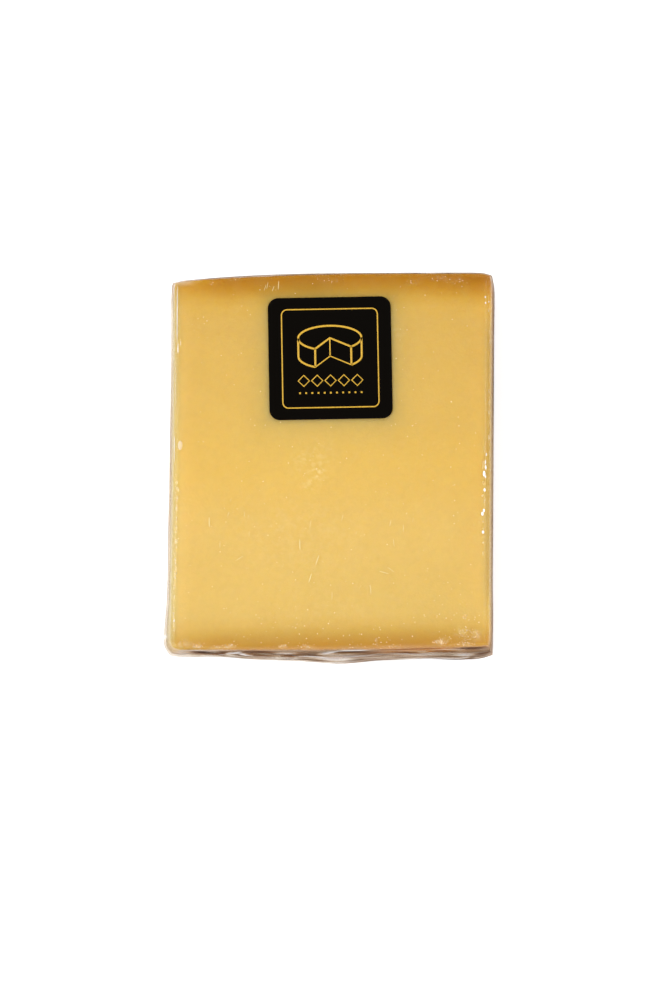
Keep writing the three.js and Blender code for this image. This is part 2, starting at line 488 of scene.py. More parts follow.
@dataclass
class Skin:
    """A closed skin round the slab: a face grid, then rings down the rim, side, foot and underside."""

    plan: SlabPlan
    spacing: float
    face_gap: float
    side_gap: dict[Side, float]
    base_gap: float
    reach_share: dict[Side, float]
    rim: dict[Side, float]
    corner_steps: int = 6
    rim_steps: int = 9
    side_steps: int = 56
    foot_steps: int = 6
    underside_scales: tuple[float, ...] = (0.985, 0.95, 0.85, 0.65, 0.35)

    def side_relief(self, at: Places) -> Array:
        """Distance added outwards on the sides. The plain skin is smooth."""
        return np.zeros_like(at.x)

    def _lines(self, core: float) -> Array:
        """Places of the grid's lines in one direction: one unit past the core is the face's edge."""
        corner = np.linspace(0, 1, self.corner_steps + 1)
        middle = np.linspace(-core, core, round(2 * core / self.spacing) + 1)
        return np.concatenate([corner[:-1] - core - 1, middle, core + corner[1:]])

    def _grid(self) -> tuple[Array, Array, Array, Array]:
        """Lays out the face grid.

        Returns:
            Grid arrays: the point inside the edge, x and y, and the way out from it, x and y.
        """
        core_x, core_y = self.plan.core
        x, y = np.meshgrid(self._lines(core_x), self._lines(core_y))
        inside_x, inside_y = np.clip(x, -core_x, core_x), np.clip(y, -core_y, core_y)
        way_x, way_y = x - inside_x, y - inside_y
        square = np.maximum(abs(way_x), abs(way_y))
        length = np.hypot(way_x, way_y)
        rounding = np.divide(square, length, out=np.ones_like(length), where=length > 0)
        squareness = self.plan.squareness(x, y)
        scale = rounding * (1 - squareness) + squareness
        return inside_x, inside_y, way_x * scale, way_y * scale

    @staticmethod
    def _loop(rows: int, columns: int) -> Array:
        """Numbers of the grid's edge points, anticlockwise from the near right corner."""
        number = np.arange(rows * columns).reshape(rows, columns)
        parts = (number[:-1, -1], number[-1, :0:-1], number[:0:-1, 0], number[0, :-1])
        return np.concatenate(parts)

    def _levels(self) -> list[tuple[float, float, float, float]]:
        """Levels below the face's edge.

        Returns:
            For each level: share of the rim's inset, share of the rim's drop, share of the way from
            the rim's foot to the slab's foot, and the angle round the foot in radians.
        """
        quarter = math.pi / 2
        rim = [step / self.rim_steps * quarter for step in range(1, self.rim_steps + 1)]
        levels = [(1 - math.sin(a), 1 - math.cos(a), 0.0, 0.0) for a in rim]
        levels += [(0.0, 1.0, step / self.side_steps, 0.0) for step in range(1, self.side_steps + 1)]
        foot = [step / self.foot_steps * quarter for step in range(1, self.foot_steps + 1)]
        return levels + [(0.0, 1.0, 1.0, a) for a in foot]

    def layout(self) -> tuple[Places, tuple[int, int], Array]:
        """Lays out all corners.

        Returns:
            The corners, with the middle of the underside last, the rows and columns of the face grid,
            and the numbers of its edge points.
        """
        plan = self.plan
        inside_x, inside_y, way_x, way_y = self._grid()
        shape = inside_x.shape
        angle = np.arctan2(way_y, way_x)
        edge_out = plan.corner_radius - by_side(self.rim, angle)
        x, y = plan.outline(inside_x + way_x * edge_out, inside_y + way_y * edge_out)
        top = plan.thickness - self.face_gap
        z = top - np.maximum.reduce([dip.at(x, y) for dip in DIPS])
        flat = np.zeros(x.size)
        face = Places(x.ravel(), y.ravel(), z.ravel(), angle.ravel(), flat, flat)

        loop = self._loop(*shape)
        core_x, core_y = inside_x.ravel()[loop], inside_y.ravel()[loop]
        way_x, way_y, angle = way_x.ravel()[loop], way_y.ravel()[loop], face.angle[loop]
        rim, side_gap = by_side(self.rim, angle), by_side(self.side_gap, angle)
        foot_reach = plan.foot_reach(core_x, core_y, angle) * by_side(self.reach_share, angle)
        edge_z, foot = face.z[loop], plan.foot_radius
        parts = [face]
        for inset_share, drop, down, foot_angle in self._levels():
            inset = rim * inset_share + side_gap * (1 - inset_share)
            z = edge_z + (top - rim - edge_z) * drop
            z = z - down * (z - foot) - (foot - self.base_gap) * math.sin(foot_angle)
            reach = foot_reach * (1 - (1 - down) ** plan.side_belly)
            tucked = foot * (1 - math.cos(foot_angle))
            ring = Places(core_x, core_y, z, angle, np.full_like(z, drop), reach)
            relief = drop * self.side_relief(ring) * math.cos(foot_angle)
            out = plan.corner_radius + reach - inset - tucked + relief
            ring.x, ring.y = plan.outline(core_x + out * way_x, core_y + out * way_y)
            parts.append(ring)
        last = parts[-1]
        for scale in (*self.underside_scales, 0.0):
            parts.append(Places(last.x * scale, last.y * scale, last.z, last.angle, last.side, last.reach))
        corners = Places.joined(parts)
        surplus = len(loop) - 1
        for name in ("x", "y", "z", "angle", "side", "reach"):
            setattr(corners, name, getattr(corners, name)[:-surplus])
        return corners, shape, loop

    def mesh(self, name: str) -> bpy.types.Mesh:
        """Makes the closed mesh.

        Args:
            name: Name of the mesh.

        Returns:
            The mesh, with its marks as attributes.
        """
        corners, (rows, columns), loop = self.layout()
        grid = np.arange(rows * columns).reshape(rows, columns)
        squares = np.stack([grid[:-1, :-1], grid[:-1, 1:], grid[1:, 1:], grid[1:, :-1]], axis=-1)
        faces = squares.reshape(-1, 4).tolist()
        count = len(loop)
        upper = loop
        for ring in range((len(corners.x) - rows * columns - 1) // count):
            lower = rows * columns + ring * count + np.arange(count)
            band = np.stack([lower, np.roll(lower, -1), np.roll(upper, -1), upper], axis=-1)
            faces += band.tolist()
            upper = lower
        middle = len(corners.x) - 1
        faces += [(middle, b, a) for a, b in zip(upper.tolist(), np.roll(upper, -1).tolist())]
        made = bpy.data.meshes.new(name)
        made.from_pydata(self.plan.placed(corners.rows).tolist(), [], faces)
        made.shade_smooth()
        for label, values in self.marks(corners).items():
            mark(made, label, values)
        return made

    def marks(self, at: Places) -> dict[str, Array]:
        """Numbers stored for each corner, by name. The plain skin has none."""
        return {}


@dataclass
class CheeseBlock(Skin):
    """The block of cheese: smooth cut faces, and a grainy brown rind on the near and far sides."""

    rind_grain: float = 0.35
    rind_grain_size: float = 2.6
    cut_unevenness: float = 0.18
    cut_wave_size: float = 14.0
    band_fade: float = 3.4
    band_fade_run: tuple[float, float] = (1.0, 17.0)
    far_fade_depth: float = 8.0
    near_fade_depth: float = 6.0
    near_fade_share: float = 0.6
    # The bands' widths change towards +x: from which x, and how much a millimetre.
    far_narrowing: tuple[float, float] = (20.0, 0.05)
    near_widening: tuple[float, float] = (22.0, 0.06)
    near_tilt: float = 0.012
    # Runs over which a feature comes or goes.
    corner_run_x: tuple[float, float] = (30.0, 40.0)
    corner_run_y: tuple[float, float] = (34.0, 47.0)
    right_run: tuple[float, float] = (15.0, 44.0)
    thin_rise: tuple[float, float] = (10.0, 17.0)
    thin_start: tuple[float, float] = (8.0, 18.0)
    thin_end: tuple[float, float] = (30.0, 39.0)
    rind_start: float = 0.15
    crumb_patches: tuple[Patch, ...] = (
        Patch(-38.2, -52.5, 3.2, 1.6, 0.6),
        Patch(-31.5, -52.9, 6.5, 1.0, 0.6),
        Patch(-29.0, -52.7, 2.8, 1.2, 0.8),
        Patch(-14.2, -52.6, 2.6, 1.1, 0.5),
        Patch(-7.5, -52.7, 4.2, 1.0, 0.6),
        Patch(6.0, -53.1, 6.5, 0.9, 0.35),
        Patch(17.0, -52.9, 7.0, 1.0, 0.35),
        Patch(30.5, -51.4, 3.8, 1.6, 0.8),
        Patch(37.0, -52.0, 5.0, 1.2, 0.5),
        Patch(38.0, -49.8, 6.0, 2.8, 0.4),
        Patch(36.8, -48.3, 3.2, 1.1, 0.7),
        Patch(40.6, -49.4, 1.6, 2.4, 0.7),
        Patch(37.3, -44.2, 1.1, 1.1, 1.0),
        Patch(12.3, -51.2, 0.9, 1.6, 0.5),
        Patch(-34.6, 50.9, 1.3, 0.9, 0.4),
        Patch(-28.0, 52.0, 3.6, 0.9, 0.3),
        Patch(-17.0, 50.0, 3.6, 2.2, 0.12),
        Patch(-1.0, 51.6, 6.0, 1.3, 0.2),
        Patch(23.0, 51.3, 3.0, 1.8, 0.2),
        Patch(31.0, 52.2, 5.0, 1.4, 0.25),
        Patch(35.7, 51.5, 2.6, 1.2, 0.35),
    )
    crumbs_per_mm2: float = 5.0
    speck_patches: tuple[Patch, ...] = (
        Patch(32, -44, 14, 7, 0.1),
        Patch(-22.4, -42.8, 4, 4, 0.12),
        Patch(-9.7, -47.8, 4, 2.5, 0.25),
        Patch(0, -50, 44, 12, 0.12),
    )
    speck_density: float = 0.03
    scratch_patches: tuple[Patch, ...] = (
        Patch(-17.0, 50.0, 4.5, 2.2, 0.8),
        Patch(-24.0, -22.0, 16.0, 18.0, 0.05),
        Patch(8.0, -24.0, 26.0, 26.0, 0.02),
    )
    # Painted shadow round the sticker's edge: its strength, and the reach in millimetres over which it
    # fades.
    label_shadow_strength: float = 0.2
    label_shadow_reach: float = 3.2
    label_half: float = 17.5
    # Painted shade at each rim: its strength, and the reach in millimetres over which it fades.
    rim_painted_shade: dict[Side, tuple[float, float]] = field(
        default_factory=lambda: {
            Side.RIGHT: (0.32, 2.0), Side.FAR: (0.06, 1.0), Side.LEFT: (0.44, 1.8), Side.NEAR: (0.2, 1.0),
        }
    )
    # A patch of painted shade between the sticker and the far rind.
    painted_shade_patches: tuple[Patch, ...] = (Patch(-5.0, 49.5, 13.0, 7.0, 0.1),)
    pale_patches: tuple[Patch, ...] = (
        Patch(-20.0, -51.4, 18.0, 2.6, 0.17),
        Patch(-37.5, 51.0, 6.0, 1.8, 0.25),
        Patch(-8.0, 4.0, 36.0, 12.0, 0.07),
    )
    dried_patches: tuple[Patch, ...] = (
        Patch(-5.7, -0.3, 9.0, 10.0, 0.4),
        Patch(-4.3, -3.3, 2.6, 2.8, 0.8),
        Patch(-6.8, -7.5, 2.6, 3.4, 0.4),
        Patch(-10.0, -21.0, 34.0, 22.0, 0.13),
        Patch(0.0, -43.0, 44.0, 14.0, 0.08),
        Patch(18.5, 36.9, 3.2, 2.6, 0.35),
        Patch(36.8, -48.2, 4.4, 1.7, 0.8),
        Patch(40.6, -49.6, 2.2, 3.0, 0.8),
        Patch(30.8, -51.0, 4.6, 1.8, 0.5),
    )
    corner_ease: float = 0.7
    rim_paleness: dict[Side, tuple[float, float]] = field(
        default_factory=lambda: {Side.LEFT: (0.25, 3.6), Side.RIGHT: (-0.36, 1.0)}
    )
    # How much paler and bluer the paste is in the painted shadow round the sticker.
    label_shadow_paleness: float = 0.16
    # Painted shade towards the right: how much warmer, then how much darker, the paste turns there.
    right_shade_warmth: float = 0.035
    right_shade: float = 0.008

    def marks(self, at: Places) -> dict[str, Array]:
        """Numbers that the paste's colours, the relief and the grains follow.

        Args:
            at: The skin's corners.

        Returns:
            The attributes by name. A depth is the way behind a rind, and a tone is that depth as the
            band's colour follows it. The shadow is painted shade that darkens the paste, and the paleness
            turns it paler above 0 and warmer below.
        """
        behind = self.plan.behind(at.x, at.y)
        far, near = behind[Side.FAR], behind[Side.NEAR]
        face, rind = 1 - at.side, at.side * rind_share(at.angle)
        # Both bands fade towards the left corners, and change their width a little to the right.
        fade = self.band_fade * (1 - smoothstep(behind[Side.LEFT], *self.band_fade_run))
        far_fade = fade * np.exp(-np.clip(far, 0, None) / self.far_fade_depth)
        near_fade = self.near_fade_share * fade * np.exp(-np.clip(near, 0, None) / self.near_fade_depth)
        start, share = self.far_narrowing
        narrowing = share * np.clip(at.x - start, 0, None)
        start, share = self.near_widening
        widening = share * np.clip(at.x - start, 0, None) - self.near_tilt * at.x
        # Painted shade: the paste is darkened at the rims, less so at the right corners, round the sticker,
        # in a patch beside it and a little towards the right.
        right_corners = smoothstep(abs(at.y), *self.corner_run_y) * smoothstep(at.x, *self.corner_run_x)
        dull = rim_glow(self.rim_painted_shade, behind, 2) * (1 - self.corner_ease * right_corners) * (1 - rind)
        from_label = np.hypot(
            np.clip(abs(at.x - self.plan.label_x) - self.label_half, 0, None),
            np.clip(abs(at.y - self.plan.label_y) - self.label_half, 0, None),
        )
        label_shadow = face * np.exp(-from_label / self.label_shadow_reach)
        shade_to_right = smoothstep(at.x, *self.right_run)
        shadow = self.label_shadow_strength * label_shadow + self.right_shade * shade_to_right
        pale = self.label_shadow_paleness * label_shadow - self.right_shade_warmth * shade_to_right
        pale = pale + face * added_up(self.pale_patches, at) + rim_glow(self.rim_paleness, behind, 2)
        crumbs = face * strongest(self.crumb_patches, at)
        # The near rind is thin in the middle of its right half.
        thin = smoothstep(at.x, *self.thin_start) * (1 - smoothstep(at.x, *self.thin_end))
        thin = thin * smoothstep(at.z, *self.thin_rise)
        return {
            "far_depth": far + self.rind_start,
            "near_depth": near,
            "far_tone": far + far_fade - narrowing,
            "near_tone": near + near_fade + widening,
            "on_rind": rind,
            "on_cut": at.side * (1 - rind),
            "bloom": crumbs,
            "shadow": dull + face * added_up(self.painted_shade_patches, at) + shadow,
            "paleness": pale,
            "dried": face * added_up(self.dried_patches, at),
            "thin_rind": Side.NEAR.facing(at.angle) * thin,
            "crumb_density": crumbs * self.crumbs_per_mm2,
            "speck_density": face * (self.speck_density + added_up(self.speck_patches, at)),
            "scratch_density": face * added_up(self.scratch_patches, at),
        }

    def build(self, material: bpy.types.Material) -> bpy.types.Object:
        """Grows the relief of rind and cut sides over the plain skin.

        Args:
            material: The cheese's material.

        Returns:
            The block.
        """
        shape = ShapeTree(
            "rind and cut relief",
            {
                "Rind grain depth": self.rind_grain * MM,
                "Rind grain size": self.rind_grain_size * MM,
                "Cut wave depth": self.cut_unevenness * MM,
                "Cut wave size": self.cut_wave_size * MM,
            },
        )
        tree, start = shape.tree, shape.start
        place = result(tree, "GeometryNodeInputPosition")
        offsets = []
        for where, depth, size in (
            ("on_rind", "Rind grain depth", "Rind grain size"),
            ("on_cut", "Cut wave depth", "Cut wave size"),
        ):
            wave = noise(tree, place, calculate(tree, "DIVIDE", MM, start[size]), 3.0, 0.6)[0]
            deep = calculate(tree, "MULTIPLY", calculate(tree, "SUBTRACT", wave, 0.5), start[depth])
            offsets.append(calculate(tree, "MULTIPLY", deep, held(tree, where)))
        total = calculate(tree, "ADD", *offsets)
        push = vectors(tree, "SCALE", i0=result(tree, "GeometryNodeInputNormal"), i3=total)
        moved = result(tree, "GeometryNodeSetPosition", Geometry=start["Geometry"], Offset=push)
        shape.end(moved, material)
        return shape.grow("cheese_block", self.mesh("cheese_block"))


def random_between(tree: Any, least: Any, most: Any, seed: Any) -> Socket:
    """A random number for each point or instance."""
    kind = "FunctionNodeRandomValue"
    return add_node(tree, kind, {"data_type": "FLOAT"}, i2=least, i3=most, Seed=seed).outputs[1]


def roughen(
    tree: Any, instances: Socket, size: Socket, reach: Socket, way: tuple[float, float, float]
) -> Socket:
    """Makes instances real and moves their corners by noise.

    Args:
        tree: The shape's tree.
        instances: What is to be roughened.
        size: The noise's own size, in metres.
        reach: How far it moves a corner, in metres.
        way: Shares of that along x, y and z.

    Returns:
        The rough geometry's socket.
    """
    real = result(tree, "GeometryNodeRealizeInstances", Geometry=instances)
    waves = calculate(tree, "DIVIDE", MM, size)
    colour = noise(tree, result(tree, "GeometryNodeInputPosition"), waves)[1]
    centred = vectors(tree, "SUBTRACT", i0=colour, i1=(0.5, 0.5, 0.5))
    push = vectors(tree, "MULTIPLY", i0=vectors(tree, "SCALE", i0=centred, i3=reach), i1=way)
    return result(tree, "GeometryNodeSetPosition", Geometry=real, Offset=push)


@dataclass
class Grains:
    """Small flat grains that lie on the cheese where an attribute says how many a square millimetre has."""

    name: str
    density: str
    smallest: float
    largest: float
    flatness: float
    seed: int
    raggedness: float = 0.35
    slimness: tuple[float, float] = (0.45, 1.0)
    turns: tuple[float, float] = (0.0, math.tau)

    def build(self, cheese: bpy.types.Object, material: bpy.types.Material) -> bpy.types.Object:
        """Scatters the grains over the cheese.

        Args:
            cheese: The block that carries them.
            material: Their material.

        Returns:
            All grains as one piece.
        """
        shape = ShapeTree(
            self.name,
            {
                "Density scale": 1 / MM**2,
                "Smallest": self.smallest * MM,
                "Largest": self.largest * MM,
                "Flatness": self.flatness,
                "Raggedness": self.raggedness,
                "Slimmest": self.slimness[0],
                "Widest": self.slimness[1],
                "Least turn": self.turns[0],
                "Most turn": self.turns[1],
                "Seed": self.seed,
            },
        )
        tree, start = shape.tree, shape.start
        density = calculate(tree, "MULTIPLY", held(tree, self.density), start["Density scale"])
        spread = add_node(
            tree, "GeometryNodeDistributePointsOnFaces",
            Mesh=start["Geometry"], i4=density, Seed=start["Seed"],
        )
        length = random_between(tree, start["Smallest"], start["Largest"], start["Seed"])
        slim = random_between(tree, start["Slimmest"], start["Widest"], 7)
        width = calculate(tree, "MULTIPLY", length, slim)
        height = calculate(tree, "MULTIPLY", width, start["Flatness"])
        placed = result(
            tree, "GeometryNodeInstanceOnPoints",
            Points=spread.outputs[0], Rotation=spread.outputs[2],
            Instance=result(tree, "GeometryNodeMeshIcoSphere", Radius=0.5, Subdivisions=2),
            Scale=result(tree, "ShaderNodeCombineXYZ", X=length, Y=width, Z=height),
        )
        turn = random_between(tree, start["Least turn"], start["Most turn"], 9)
        about = result(tree, "ShaderNodeCombineXYZ", Z=turn)
        rotation = result(tree, "FunctionNodeEulerToRotation", i0=about)
        turned = result(tree, "GeometryNodeRotateInstances", Instances=placed, Rotation=rotation)
        reach = calculate(tree, "MULTIPLY", start["Raggedness"], start["Largest"])
        ragged = roughen(tree, turned, start["Largest"], reach, (1.0, 1.0, 0.15))
        shape.end(ragged, material)
        return shape.grow(self.name, cheese.data.copy())


@dataclass(frozen=True)
class Crease:
    """One crease in the film on a side, in millimetres.

    It runs along the side about its place and z, dropping by its slope, and stands out by its height
    or in if that is negative. Its milk is how white the film's layers and painted gleams make it; below 0
    it is painted shade instead.
    """

    side: Side
    place: float
    z: float
    half_length: float
    width: float
    height: float
    slope: float = 0.0
    milk: float = 0.0

    def at(self, where: Places) -> Array:
        """The crease's share at places on the skin, 1 in its middle."""
        along = (where.x if self.side.has_rind else where.y) - self.place
        taper = np.clip(1 - (along / self.half_length) ** 2, 0, None) ** 1.5
        across = abs(where.z - self.z - self.slope * along) / self.width
        return self.side.facing(where.angle) * taper * np.exp(-(across**1.6))


@dataclass(frozen=True)
class CreaseFamily:
    """Creases drawn at random over one side, in millimetres."""

    side: Side
    seed: int
    count: int
    half_length: tuple[float, float]
    width: tuple[float, float]
    height: float
    milk: float
    slope: float = 0.06
    above_floor: float = 0.5
    below_face: float = 2.5

    def draw(self, plan: SlabPlan) -> list[Crease]:
        """Draws the creases."""
        draw = np.random.default_rng(self.seed)
        run = plan.core[0] if self.side.has_rind else plan.core[1]
        return [
            Crease(
                side=self.side,
                place=draw.uniform(-run, run),
                z=draw.uniform(self.above_floor, plan.thickness - self.below_face),
                half_length=draw.uniform(*self.half_length),
                width=draw.uniform(*self.width),
                height=draw.normal(0, self.height),
                slope=draw.normal(0, self.slope),
                milk=draw.normal(0, self.milk),
            )
            for _ in range(self.count)
        ]


@dataclass
class FilmWrap(Skin):
    """The clear film: tight on the faces, creased and milky along the sides, with painted gleams and
    painted shade there.
    """

    inner: Skin | None = None
    outward_limit: float = 0.4
    families: tuple[CreaseFamily, ...] = (
        CreaseFamily(Side.NEAR, 5, 70, (5, 18), (0.8, 1.8), 0.4, 0.3),
        CreaseFamily(Side.FAR, 6, 90, (8, 30), (0.6, 1.6), 0.4, 0.2),
        CreaseFamily(Side.LEFT, 7, 34, (8, 34), (0.7, 2.0), 0.12, 0.1),
        CreaseFamily(Side.RIGHT, 8, 34, (8, 34), (0.7, 2.0), 0.12, 0.06),
    )
    # Named creases: milk above 0 paints gleams and milky layers, below 0 painted shade.
    folds: tuple[Crease, ...] = (
        Crease(Side.NEAR, -35.5, 12.4, 6.0, 1.8, -0.4, -0.55, -0.45),
        Crease(Side.NEAR, -35.5, 18.4, 5.0, 2.2, 0.2, -0.3, 0.35),
        Crease(Side.NEAR, -35.5, 6.5, 3.5, 2.0, 0.2, 0.0, 0.4),
        Crease(Side.NEAR, -22.0, 20.5, 26.0, 1.8, 0.0, 0.0, 0.2),
        Crease(Side.NEAR, -42.0, 18.0, 5.0, 3.5, 0.0, 0.0, 0.45),
        Crease(Side.NEAR, -30.8, 12.8, 2.4, 1.6, 0.3, 1.3, 1.1),
        Crease(Side.NEAR, -28.2, 16.4, 3.0, 1.2, 0.3, 0.3, 1.2),
        Crease(Side.NEAR, -27.6, 12.6, 2.6, 1.8, -0.4, 0.0, -0.7),
        Crease(Side.NEAR, -25.0, 13.6, 2.6, 1.4, 0.3, -1.2, 1.0),
        Crease(Side.NEAR, -20.5, 14.5, 7.5, 4.5, -0.2, 0.0, -0.18),
        Crease(Side.NEAR, -34.0, 21.2, 11.0, 0.6, 0.0, 0.0, 0.35),
        Crease(Side.NEAR, -43.0, 10.0, 6.0, 7.0, 0.2, 0.0, 0.18),
        Crease(Side.NEAR, -29.0, 9.0, 3.0, 3.5, 0.0, 0.0, 0.3),
        Crease(Side.NEAR, -11.0, 11.6, 4.5, 1.8, 0.0, 0.0, -0.8),
        Crease(Side.NEAR, -1.0, 12.3, 5.0, 1.5, 0.0, 0.0, -0.55),
        Crease(Side.NEAR, 1.0, 8.6, 7.0, 1.8, 0.0, 0.0, 0.5),
        Crease(Side.NEAR, -14.0, 17.0, 4.8, 1.3, 0.3, 0.0, 0.6),
        Crease(Side.NEAR, -14.0, 14.5, 5.5, 1.3, -0.3, 0.0, -0.5),
        Crease(Side.NEAR, -9.7, 11.4, 2.8, 1.6, 0.4, 1.7, 0.2),
        Crease(Side.NEAR, -0.8, 18.8, 3.6, 0.9, 0.4, 0.35, 0.6),
        Crease(Side.NEAR, 5.8, 20.8, 5.2, 0.7, 0.4, 0.0, 1.1),
        Crease(Side.NEAR, 5.0, 18.5, 6.0, 1.0, -0.5, 0.0, -0.5),
        Crease(Side.NEAR, 5.0, 14.5, 8.0, 2.8, 0.2, 0.0, 0.3),
        Crease(Side.NEAR, -1.0, 4.5, 15.0, 4.0, 0.3, 0.0, 0.35),
        Crease(Side.NEAR, 17.0, 15.6, 7.0, 2.2, 0.0, 0.0, 0.3),
        Crease(Side.NEAR, 31.0, 16.0, 5.5, 1.6, -0.5, 0.0, -0.5),
        Crease(Side.NEAR, 28.0, 19.5, 8.0, 1.2, 0.2, 0.0, -0.05),
        Crease(Side.NEAR, 24.0, 20.9, 14.0, 0.7, 0.0, 0.0, -0.4),
        Crease(Side.NEAR, 37.0, 19.5, 5.5, 2.0, -0.2, 0.0, -0.2),
        Crease(Side.NEAR, 43.0, 6.0, 4.0, 7.0, 0.0, 0.0, -0.35),
        Crease(Side.NEAR, 37.5, 11.6, 4.0, 2.0, 0.2, 0.0, 0.35),
        Crease(Side.NEAR, 27.0, 9.0, 9.0, 2.2, 0.2, 0.0, 0.4),
        Crease(Side.NEAR, 39.0, 17.0, 6.0, 2.6, -0.3, 0.3, -0.35),
        Crease(Side.NEAR, 23.0, 6.0, 9.0, 2.4, 0.3, 0.0, 0.35),
        Crease(Side.NEAR, 39.6, 6.0, 1.6, 2.2, -0.4, 0.0, -0.6),
        Crease(Side.NEAR, -22.0, 12.0, 24.0, 12.0, 0.0, 0.0, -0.15),
        Crease(Side.NEAR, 22.0, 12.0, 22.0, 12.0, 0.0, 0.0, 0.15),
        Crease(Side.LEFT, 49.5, 17.0, 4.5, 6.0, 0.0, 0.0, -0.3),
        Crease(Side.LEFT, 34.0, 12.0, 24.0, 14.0, 0.0, 0.0, 0.16),
        Crease(Side.LEFT, -49.4, 14.0, 0.9, 9.0, 0.0, 0.0, 0.3),
        Crease(Side.NEAR, -20.0, 3.5, 12.0, 6.0, 0.5, 0.0, 0.14),
        Crease(Side.NEAR, 38.5, 2.5, 10.0, 6.0, 0.6, 0.0, 0.0),
    )
    side_milk: dict[Side, float] = field(
        default_factory=lambda: {Side.RIGHT: 0.0, Side.FAR: 0.05, Side.LEFT: 0.16, Side.NEAR: 0.05}
    )
    # Painted shade on each side's film, which darkens what shows through it.
    side_shade: dict[Side, float] = field(
        default_factory=lambda: {Side.RIGHT: 0.38, Side.FAR: 0.4, Side.LEFT: 0.2, Side.NEAR: 0.26}
    )
    veils: tuple[Patch, ...] = (
        Patch(-42.5, -52.0, 4.5, 2.4, 0.1),
    )
    veil_everywhere: float = 0.01
    corner_haze: Patch = Patch(-43.2, 51.7, 6.5, 2.3, 0.32)
    rim_haze: dict[Side, tuple[float, float]] = field(
        default_factory=lambda: {
            Side.RIGHT: (0.012, 1.5), Side.FAR: (0.0, 1.0), Side.LEFT: (0.045, 1.8), Side.NEAR: (0.04, 0.6),
        }
    )
    foot_milk: float = 0.14
    upper_milk: float = 0.3
    clearance: float = 0.08
    least_room: float = 0.02
    # Drops below the face over which the creases deepen and the cut sides' film grows milky.
    crease_run: tuple[float, float] = (0.5, 6.0)
    deep_run: tuple[float, float] = (3.0, 11.0)
    # Shares of the rim's drop over which the face's marks give way to the side's.
    rim_run: tuple[float, float] = (0.55, 1.1)
    foot_run: tuple[float, float] = (1.0, 9.0)
    dust_patches: tuple[Patch, ...] = ()
    creases: list[Crease] = field(default_factory=list)

    def room(self, at: Places) -> Array:
        """How far the film can be pressed in before it meets the cheese."""
        own, inner = by_side(self.reach_share, at.angle), by_side(self.inner.reach_share, at.angle)
        gap = by_side(self.inner.side_gap, at.angle) - by_side(self.side_gap, at.angle)
        return at.reach * (1 - inner / own) + gap - self.clearance

    def side_relief(self, at: Places) -> Array:
        """The creases, deepest towards the foot and softly kept between their limits."""
        total = sum(crease.height * crease.at(at) for crease in self.creases)
        total = total * smoothstep(self.plan.thickness - at.z, *self.crease_run)
        limit = np.where(total > 0, self.outward_limit, np.maximum(self.room(at), self.least_room))
        return limit * np.tanh(total / limit)

    def marks(self, at: Places) -> dict[str, Array]:
        """How milky, dusty and darkened by painted shade the film is.

        Args:
            at: The skin's corners.

        Returns:
            The attributes by name. Milk, with its painted gleams, lies on the creased sides and in faint
            patches on the face; the shade is painted shade on the sides.
        """
        veils = self.veil_everywhere + added_up(self.veils, at)
        behind = self.plan.behind(at.x, at.y)
        haze = self.corner_haze.at(at.x, at.y) + rim_glow(self.rim_haze, behind, 1)
        drop = self.plan.thickness - at.z
        lower = smoothstep(drop / by_side(self.rim, at.angle), *self.rim_run)
        rind = rind_share(at.angle)
        deep = rind + (1 - rind) * smoothstep(drop, *self.deep_run)
        creased = sum(crease.milk * crease.at(at) for crease in self.creases)
        foot = self.foot_milk * Side.NEAR.facing(at.angle) * (1 - smoothstep(at.z, *self.foot_run))
        milk = (by_side(self.side_milk, at.angle) + creased + foot) * (
            self.upper_milk + (1 - self.upper_milk) * deep
        )
        # Painted shade: each side's own, less where the creases are milky and at the foot, more where their
        # milk is below 0.
        shade = by_side(self.side_shade, at.angle) - creased - foot
        return {
            "veil": (1 - lower) * veils,
            "milk": np.clip(lower * milk + (1 - lower) * haze, 0, 1),
            "shade": np.clip(lower * deep * shade, 0, 1),
            "dust": (1 - lower) * strongest(self.dust_patches, at),
        }

    def build(self, material: bpy.types.Material) -> bpy.types.Object:
        """Draws the creases and makes the film.

        Args:
            material: The film's material.

        Returns:
            The film.
        """
        self.creases = list(self.folds)
        for family in self.families:
            self.creases += family.draw(self.plan)
        made = add_object("clear_film", self.mesh("clear_film"))
        made.data.materials.append(material)
        return made


@dataclass(frozen=True)
class Bead:
    """One flat bead of air and whey under the film at a rim, in millimetres.

    It lies inset from the face's edge, runs along the side for its length and is as milky as its milk; its
    milky white paints a glint of the lights on the rim.
    """

    side: Side
    y: float
    inset: float
    length: float
    width: float
    milk: float


@dataclass(frozen=True)
class BeadRun:
    """Small beads drawn at random along a rim, between two places on it, as painted glints."""

    side: Side
    count: int
    low: float
    high: float
    inset: float
    milk: float
    length: tuple[float, float] = (0.4, 1.5)
    slimness: tuple[float, float] = (0.25, 0.6)
    inset_spread: float = 0.16
    milk_share: tuple[float, float] = (0.5, 1.5)


